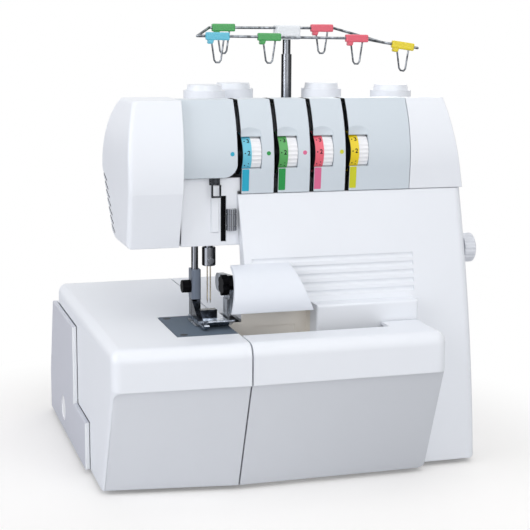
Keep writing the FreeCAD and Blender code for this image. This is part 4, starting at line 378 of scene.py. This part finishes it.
# Painted reflection round the thread guide's barrel: even light and dark streaks for the ribs round its front,
# then a dark far side
BARREL_REFLECTION = (tuple((0.02 + 0.032 * k, 186 if k % 2 else 84) for k in range(13))
          + ((0.46, 44), (0.7, 150), (0.95, 50)))
NEEDLE_BAR = (99.8, 92.0)
PRESSER_BAR = (89.2, 96.0)
GUIDE_BARREL = (115.2, 80.4)
POST = (209.0, 232.0)

moulded = dict(rough=0.38, vary=0.012, bump=0.04, edge=0.9 * MM)
casing = surface("casing_white", WHITE, **moulded)
head = surface("head_white", louvre_tone(WHITE, (62, 64, 70)), **moulded)
covers = surface("cover_white", skirt_tone(WHITE, (234, 237, 242), (212, 215, 220)), **moulded)
panel = surface("panel_grey", slotted(PANEL_GREY, (26, 28, 31)), 0.34, vary=0.015, bump=0.04, edge=0.6 * MM)
dimpled = round_patch(SIDE_SHADE_GREY, (250, 250, 252), 222.0, 24.0, 11.0)
side = surface("side_panel", front_edges(dimpled, (246, 248, 250)), 0.42, vary=0.015, bump=0.05, edge=0.8 * MM)
guard = surface("guard_white", (232, 236, 243), 0.34, vary=0.008, bump=0.02, edge=0.6 * MM)
tray = surface("tray_grey", (150, 153, 160), 0.6, vary=0.05, bump=0.15)
rubber = surface("foot_rubber", (38, 38, 40), 0.8, vary=0.12, grain=900.0, bump=0.3)
belt = surface("belt_rubber", (24, 24, 26), 0.7, vary=0.1, grain=700.0, bump=0.3, stretch=(1, 4, 4))
cast = surface("cast_metal", (158, 161, 166), 0.55, metallic=0.8, vary=0.08, grain=420.0, bump=0.35)
plate = surface("plate_steel", (100, 112, 125), 0.55, specular=0.04, vary=0.06, cloud=60.0, grain=900.0,
                bump=0.06, stretch=(1, 0.06, 1), edge=0.3 * MM)
screw_steel = surface("screw_steel", (34, 38, 44), 0.4, vary=0.2, grain=900.0, bump=0.05, specular=0.1)
# On the metals below, the wide cloudy light and dark in the colour, with its contrast and streak stretch, is
# painted reflection
brushed_with_painted_streaks = dict(rough=0.3, cloud=260.0, grain=800.0, bump=0.08, stretch=(1, 1, 0.25), edge=0.4 * MM, contrast=0.12)
satin = surface("satin_steel", (136, 141, 148), metallic=1.0, vary=0.45, **brushed_with_painted_streaks)
arm_steel = surface("arm_steel", round_patch((140, 146, 154), (10, 10, 12), 88.0, 155.0, 8.2), metallic=0.9,
                    vary=0.4, **brushed_with_painted_streaks)
dark_steel = surface("dark_steel", (112, 121, 135), 0.38, metallic=0.7, vary=0.16, cloud=240.0, grain=700.0,
                     bump=0.08, stretch=(1, 1, 0.05), edge=0.5 * MM, contrast=0.14)
foot_steel = surface("foot_steel", foot_tone((178, 185, 195), (52, 55, 61)), 0.24, metallic=1.0, vary=0.3,
                     cloud=240.0, grain=700.0, bump=0.06, edge=0.5 * MM, contrast=0.12)
chrome = surface("bright_steel", (118, 122, 127), 0.16, metallic=1.0, vary=0.55, cloud=220.0, grain=600.0,
                 bump=0.04, contrast=0.12)
needle_bar_steel = surface("needle_bar_steel", round_the_axis(*NEEDLE_BAR, TUBE_REFLECTION), 0.2, metallic=1.0, grain=600.0,
                           bump=0.03)
clamp_steel = surface("clamp_steel", round_the_axis(*NEEDLE_BAR, TUBE_REFLECTION, 0.006), 0.2, metallic=1.0, grain=600.0,
                      bump=0.04, edge=0.4 * MM)
bar_steel = surface("bar_steel", round_the_axis(*PRESSER_BAR, TUBE_REFLECTION), 0.18, metallic=1.0, grain=600.0, bump=0.03)
guide_steel = surface("guide_steel", guide_tone(round_the_axis(*GUIDE_BARREL, BARREL_REFLECTION), (58, 60, 64), 110.6), 0.22,
                      metallic=1.0, cloud=420.0, grain=600.0, bump=0.03, contrast=0.1)
needle_metal = surface("needle_steel", (205, 192, 168), 0.25, metallic=1.0, vary=0.05, bump=0.03)
post = surface("post_metal", round_the_axis(*POST, TUBE_REFLECTION, 0.002), 0.2, metallic=1.0, grain=500.0, bump=0.03)
brass = surface("bush_brass", (186, 156, 92), 0.35, metallic=1.0, vary=0.06, bump=0.06)
motor_paint = surface("motor_paint", (66, 70, 76), 0.45, metallic=0.3, vary=0.08, bump=0.2)
black = surface("black_plastic", (17, 17, 19), 0.34, vary=0.2, bump=0.06, specular=0.012)
milky = surface("milky_plastic", (240, 243, 246), 0.3, vary=0.02, bump=0.03, edge=0.5 * MM)
beige = surface("looper_plate", (249, 243, 233), 0.5, vary=0.02, bump=0.08)
# Greyer white than the casing, as painted shade on the knobs and the handwheel
knob_white = surface("knob_white", (224, 227, 233), 0.4, vary=0.02, bump=0.08, edge=0.5 * MM)
ink = surface("dial_ink", (14, 15, 20), 0.6, vary=0.1, bump=0.05, specular=0.2)

clip_mats, strip_mats, dial_mats = {}, {}, {}
for i, c in enumerate(COLOURS):
    clip_mats[c] = surface("clip_" + c, CLIPS[c], 0.34, vary=0.03, bump=0.05, edge=0.4 * MM, coat=0.15)
    strip_mats[c] = surface("strip_" + c, STRIPS[c], 0.45, vary=0.02, bump=0.03)
    dial_mats[c] = surface("dial_" + c, dial_tone(DIALS[c], DIAL_X0 + i * SLOT_PITCH), 0.36, vary=0.02, bump=0.05)

LOOKS = {
    casing: ("column_cover", "rear_cover", "arm_cover", "spool_stand", "spool_holders"),
    head: ("face_cover",),
    covers: ("bed_cover", "looper_cover"),
    side: ("left_side_panel",),
    panel: ("tension_panel",),
    guard: ("finger_guard",),
    knob_white: ("differential_knob", "handwheel"),
    tray: ("base_tray",),
    rubber: ("rubber_feet",),
    belt: ("drive_belt",),
    cast: ("machine_frame", "shaft_pulley", "motor_pulley"),
    plate: ("needle_plate",),
    screw_steel: ("plate_screws",),
    satin: ("upper_knife", "lower_knife", "feed_dogs", "spool_pins"),
    arm_steel: ("upper_knife_arm",),
    foot_steel: ("presser_foot",),
    dark_steel: ("foot_holder", "presser_lifter"),
    bar_steel: ("presser_bar",),
    needle_bar_steel: ("needle_bar",),
    guide_steel: ("thread_guides",),
    clamp_steel: ("needle_clamp",),
    chrome: ("presser_spring", "upper_looper", "lower_looper", "main_shaft", "shaft_bearings", "dial_axle",
             "guide_rail", "thread_hooks"),
    needle_metal: ("needles",),
    post: ("post_lower", "post_upper"),
    brass: ("bar_bushes",),
    motor_paint: ("motor",),
    black: ("foot_screw", "knife_knob", "power_inlet", "power_switch"),
    milky: ("guide_holder",),
    beige: ("looper_backplate",),
    clip_mats["blue"]: ("clip_blue",),
    clip_mats["green"]: ("clips_green",),
    clip_mats["pink"]: ("clips_pink",),
    clip_mats["yellow"]: ("clip_yellow",),
}
for c in COLOURS:
    LOOKS[dial_mats[c]] = ("tension_dial_" + c,)
for mat, names in LOOKS.items():
    for name in names:
        data = nodes[name].data
        data.materials.clear()
        data.materials.append(mat)


# Pieces that the solids don't carry

def piece(name, bm, mat, body):
    mesh = bpy.data.meshes.new(name)
    bm.normal_update()
    bm.to_mesh(mesh)
    bm.free()
    mesh.materials.append(mat)
    obj = bpy.data.objects.new(name, mesh)
    scene.collection.objects.link(obj)
    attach(obj, body)
    return obj


def loft(bm, rings):
    """Skin through rings of points, with a flat cap at each end."""
    loops = [[bm.verts.new(p) for p in ring] for ring in rings]
    count = len(loops[0])
    for low, high in zip(loops, loops[1:]):
        for k in range(count):
            n = (k + 1) % count
            bm.faces.new((low[k], low[n], high[n], high[k]))
    bm.faces.new(loops[-1])
    bm.faces.new(list(reversed(loops[0])))


def disc(bm, radius, thick, rim, sides=32):
    """Low round button with a rounded rim, flat at z = 0."""
    rings = ((radius, 0.0), (radius, thick - rim), (radius - rim * 0.3, thick - rim * 0.3), (radius - rim, thick))
    turns = [2 * math.pi * k / sides for k in range(sides)]
    loft(bm, [[(r * math.cos(a), r * math.sin(a), z) for a in turns] for r, z in rings])


def digit_mesh(text, height):
    """Mesh of a thin digit with its middle at the origin, in metres."""
    letter_size = 1.38
    curve = bpy.data.curves.new("digit", "FONT")
    curve.body = text
    curve.size = height * letter_size
    curve.align_x = "CENTER"
    curve.align_y = "CENTER"
    curve.extrude = 0.03 * MM
    curve.offset = 0.11 * MM
    curve.resolution_u = 4
    holder = bpy.data.objects.new("digit", curve)
    scene.collection.objects.link(holder)
    bpy.context.view_layer.update()
    mesh = bpy.data.meshes.new_from_object(holder.evaluated_get(bpy.context.evaluated_depsgraph_get()))
    bpy.data.objects.remove(holder)
    bpy.data.curves.remove(curve)
    return mesh


def wrapped_digits(i):
    """Numbers 0 to 9 with an index dot each, laid round the coloured band of one dial."""
    digit_height, digit_x = 3.6, 5.1
    dot_radius, dot_thick, dot_rim, dot_x, dot_sides = 0.55, 0.06, 0.02, 2.0, 16
    proud, sunk = 0.04, 0.03
    shown = 2
    bm = bmesh.new()
    centre = at(DIAL_X0 + i * SLOT_PITCH, *DIAL_AXIS)
    radius = (DIAL_R + proud) * MM
    for n in range(10):
        angle = math.radians((n - shown) * DIAL_STEP + DIAL_SHIFT)
        digit = bmesh.new()
        digit.from_mesh(digit_mesh(str(n), digit_height * MM))
        bmesh.ops.translate(digit, verts=digit.verts, vec=Vector((digit_x * MM, 0, 0)))
        dot = bmesh.new()
        disc(dot, dot_radius * MM, dot_thick * MM, dot_rim * MM, dot_sides)
        bmesh.ops.translate(dot, verts=dot.verts, vec=Vector((dot_x * MM, 0, -sunk * MM)))
        for source in (digit, dot):
            for v in source.verts:
                turn = angle + v.co.y / radius
                r = radius + v.co.z
                v.co = Vector((centre.x + v.co.x, centre.y - r * math.cos(turn), centre.z + r * math.sin(turn)))
            mesh = bpy.data.meshes.new("wrap")
            source.to_mesh(mesh)
            source.free()
            bm.from_mesh(mesh)
            bpy.data.meshes.remove(mesh)
    return bm


def strip(i):
    """Coloured path mark under a dial, a thin rounded plate on the sloping foot of the panel."""
    foot, top = (79.0, 229.6), (77.5, 249.5)
    width, corner, proud, sunk = 5.7, 0.5, 0.2, 0.05
    low_z, high_z = 231.6, 249.0
    left = SLOT_X + i * SLOT_PITCH + SLOT_HALF + 0.4
    right = left + width

    def face_y(z):
        return foot[0] + (top[0] - foot[0]) * (z - foot[1]) / (top[1] - foot[1])

    outline = []
    for x, z, start in ((right - corner, high_z - corner, 0), (left + corner, high_z - corner, 90),
                        (left + corner, low_z + corner, 180), (right - corner, low_z + corner, 270)):
        for k in range(5):
            a = math.radians(start + 22.5 * k)
            outline.append((x + corner * math.cos(a), z + corner * math.sin(a)))
    bm = bmesh.new()
    loft(bm, [[at(x, face_y(z) + shift, z) for x, z in outline] for shift in (-proud, sunk)])
    bmesh.ops.recalc_face_normals(bm, faces=bm.faces)
    return bm


def spot(i):
    """Round colour mark on the panel, left of a dial's slot."""
    mark_x, mark_y, mark_z = (115.4, 145.2, 175.4, 206.6)[i], 77.8, 261.2
    panel_lean = 6
    bm = bmesh.new()
    disc(bm, 1.7 * MM, 0.25 * MM, 0.12 * MM)
    tilt = Matrix.Rotation(math.radians(90 - panel_lean), 4, "X")
    bmesh.ops.transform(bm, matrix=Matrix.Translation(at(mark_x, mark_y, mark_z)) @ tilt, verts=bm.verts)
    return bm


def shield():
    """Dark plate that fills the take-up slot as painted shade, with its edges taken off."""
    low, high = at(107.05, 83.6, 191.55), at(111.45, 84.4, 227.95)
    size = high - low
    bm = bmesh.new()
    bmesh.ops.create_cube(bm, size=1.0)
    place = Matrix.Translation((low + high) / 2) @ Matrix.Diagonal((size.x, size.y, size.z, 1.0))
    bmesh.ops.transform(bm, matrix=place, verts=bm.verts)
    bmesh.ops.bevel(bm, geom=list(bm.edges), offset=0.15 * MM, segments=2, affect="EDGES")
    bmesh.ops.recalc_face_normals(bm, faces=bm.faces)
    return bm


def corner_plate():
    """Closing plate at the rear cover's left corner, between throat wall, bed wall and back wall."""
    left, right = 194.15, 195.9
    outline = ((276.0, 109.2), (289.4, 109.2), (289.4, 184.0), (290.2, 184.0), (294.6, 112.0), (298.6, 42.5))
    bm = bmesh.new()
    loft(bm, [[at(x, y, z) for y, z in outline] for x in (left, right)])
    bmesh.ops.recalc_face_normals(bm, faces=bm.faces)
    return bm


# Runs of the guide rail, and the share of a run at which each clip sits
RAILS = {"front": ((132.0, 206.0, 351.0), (272.0, 206.0, 349.4)),
         "rear": ((137.0, 232.0, 358.2), (254.0, 232.0, 358.2)),
         "tail": ((296.0, 214.0, 345.6), (327.5, 210.4, 340.92))}
TABS = (("blue", "front", 0.04), ("green", "rear", 0.11), ("green", "front", 0.375), ("pink", "rear", 0.9),
        ("pink", "front", 0.96), ("yellow", "tail", 0.556))


def tab(run, share):
    """Small tab under a clip, where a hook's leg comes out."""
    back, half, deep, low, high = 6.0, 2.6, 2.3, -6.6, -2.6
    slant, left_slant = 1.0, 0.4
    taper, taper_high = 0.5, 0.8
    a, b = (at(*p) for p in RAILS[run])
    axis = (b - a).normalized()
    middle = a + (b - a) * share - axis * back * MM
    across = Vector((0, 1, 0))
    up = axis.cross(across).normalized()
    if up.z < 0:
        up.negate()
    rings = []
    for z, shrink in ((low, taper), (low + taper_high, 0.0), (high, 0.0)):
        lean = slant * (high - z) / (high - low)
        left, right = -half + shrink - lean * left_slant, half - shrink - lean
        front, rear = -deep + shrink, deep - shrink
        corners = ((left, front), (right, front), (right, rear), (left, rear))
        rings.append([middle + (axis * x + across * y + up * z) * MM for x, y in corners])
    bm = bmesh.new()
    loft(bm, rings)
    bmesh.ops.bevel(bm, geom=list(bm.edges), offset=0.35 * MM, segments=2, affect="EDGES")
    bmesh.ops.recalc_face_normals(bm, faces=bm.faces)
    return bm


for i, c in enumerate(COLOURS):
    piece("digits_" + c, wrapped_digits(i), ink, "dial_" + c)
    piece("mark_" + c, strip(i), strip_mats[c], "base")
    piece("spot_" + c, spot(i), strip_mats[c], "base")
piece("take_up_slot_shade", shield(), black, "base")
piece("rear_corner_plate", corner_plate(), casing, "base")
for k, (c, run, share) in enumerate(TABS):
    piece("clip_tab_%d" % k, tab(run, share), clip_mats[c], "thread_guide")


# Floor, light and camera

PURE_WHITE = (1.0, 1.0, 1.0, 1.0)


def mix_shaders(tree, fac, a, b):
    mix = tree.nodes.new("ShaderNodeMixShader")
    tree.links.new(fac, mix.inputs["Fac"])
    tree.links.new(a, mix.inputs[1])
    tree.links.new(b, mix.inputs[2])
    return mix.outputs["Shader"]


def floor_material():
    """Pale floor that keeps the shadow near the part and fades to white further out."""
    middle = (-0.06, -0.04, 0.0)
    fade_from, fade_to = 0.2, 0.4
    lift = 0.2
    mat, tree = fresh("floor_white")
    links = tree.links
    coords = tree.nodes.new("ShaderNodeTexCoord")
    ramp = add(tree, "ShaderNodeMapRange", From_Min=fade_from, From_Max=fade_to)
    ramp.interpolation_type = "SMOOTHSTEP"
    links.new(vectors(tree, "DISTANCE", coords.outputs["Object"], middle, "Value"), ramp.inputs["Value"])
    matt = add(tree, "ShaderNodeBsdfDiffuse", Color=(0.68, 0.68, 0.69, 1.0))
    seen = add(tree, "ShaderNodeBsdfDiffuse", Color=(0.845, 0.83, 0.81, 1.0))
    glow = add(tree, "ShaderNodeEmission", Color=PURE_WHITE, Strength=lift)
    both = tree.nodes.new("ShaderNodeAddShader")
    links.new(seen.outputs["BSDF"], both.inputs[0])
    links.new(glow.outputs["Emission"], both.inputs[1])
    white = add(tree, "ShaderNodeEmission", Color=PURE_WHITE, Strength=1.0)
    fade = mix_shaders(tree, ramp.outputs["Result"], both.outputs["Shader"], white.outputs["Emission"])
    path = tree.nodes.new("ShaderNodeLightPath")
    out = tree.nodes.new("ShaderNodeOutputMaterial")
    links.new(mix_shaders(tree, path.outputs["Is Camera Ray"], matt.outputs["BSDF"], fade), out.inputs["Surface"])
    return mat


FLOOR_REACH = 6.0
corners = [(x * FLOOR_REACH, y * FLOOR_REACH, 0) for x, y in ((-1, -1), (1, -1), (1, 1), (-1, 1))]
ground = bpy.data.meshes.new("floor")
ground.from_pydata(corners, [], [(0, 1, 2, 3)])
ground.materials.append(floor_material())
floor = bpy.data.objects.new("floor", ground)
scene.collection.objects.link(floor)


def studio():
    """World that lights softly, and is white to the camera and in reflections."""
    world = bpy.data.worlds.new("studio")
    world.use_nodes = True
    tree = world.node_tree
    tree.nodes.clear()
    path = tree.nodes.new("ShaderNodeLightPath")
    seen = maths(tree, "MAXIMUM", path.outputs["Is Camera Ray"], path.outputs["Is Glossy Ray"])
    seen = maths(tree, "MAXIMUM", seen, path.outputs["Is Transmission Ray"])
    soft = add(tree, "ShaderNodeBackground", Color=(0.96, 0.97, 1.0, 1.0), Strength=0.36)
    white = add(tree, "ShaderNodeBackground", Color=PURE_WHITE, Strength=1.0)
    out = tree.nodes.new("ShaderNodeOutputWorld")
    tree.links.new(mix_shaders(tree, seen, soft.outputs["Background"], white.outputs["Background"]),
                   out.inputs["Surface"])
    return world


scene.world = studio()


def lamp(name, place, target, size, energy, colour=(1.0, 1.0, 1.0)):
    data = bpy.data.lights.new(name, "AREA")
    data.shape = "SQUARE"
    data.size = size
    data.energy = energy
    data.color = colour
    obj = bpy.data.objects.new(name, data)
    scene.collection.objects.link(obj)
    obj.location = place
    obj.rotation_euler = (Vector(target) - Vector(place)).to_track_quat("-Z", "Y").to_euler()
    return obj


MIDDLE = (0, 0, 0.15)
lamp("front", (0.15, -2.2, 0.9), MIDDLE, 1.6, 14.0)
lamp("key", (0.3, -1.3, 1.9), MIDDLE, 1.4, 8.0)
lamp("top", (0.1, 0.1, 2.0), (0, 0, 0.1), 1.6, 6.0)
lamp("left", (-1.7, -0.5, 0.9), MIDDLE, 1.2, 15.0, (0.95, 0.96, 1.0))
lamp("rear", (1.3, 1.7, 1.1), MIDDLE, 1.4, 9.0)

# Camera fitted to the photograph: turn, tilt and roll in degrees, focal length and frame in pixels
YAW, PITCH, ROLL = (math.radians(v) for v in (17.1, -10.3, -0.4))
FOCAL, FRAME = 1337.8, 530.0
SENSOR = 36.0
EYE = at(-167.6, -930.7, 363.4)
forward = Vector((math.sin(YAW) * math.cos(PITCH), math.cos(YAW) * math.cos(PITCH), math.sin(PITCH)))
level = Vector((math.cos(YAW), -math.sin(YAW), 0.0))
down = forward.cross(level)
across = level * math.cos(ROLL) + down * math.sin(ROLL)
under = down * math.cos(ROLL) - level * math.sin(ROLL)
camera_data = bpy.data.cameras.new("camera")
camera_data.sensor_width = SENSOR
camera_data.sensor_fit = "HORIZONTAL"
camera_data.lens = SENSOR * FOCAL / FRAME
camera = bpy.data.objects.new("camera", camera_data)
scene.collection.objects.link(camera)
camera.matrix_world = Matrix((
    (across.x, -under.x, -forward.x, EYE.x),
    (across.y, -under.y, -forward.y, EYE.y),
    (across.z, -under.z, -forward.z, EYE.z),
    (0.0, 0.0, 0.0, 1.0)))
scene.camera = camera
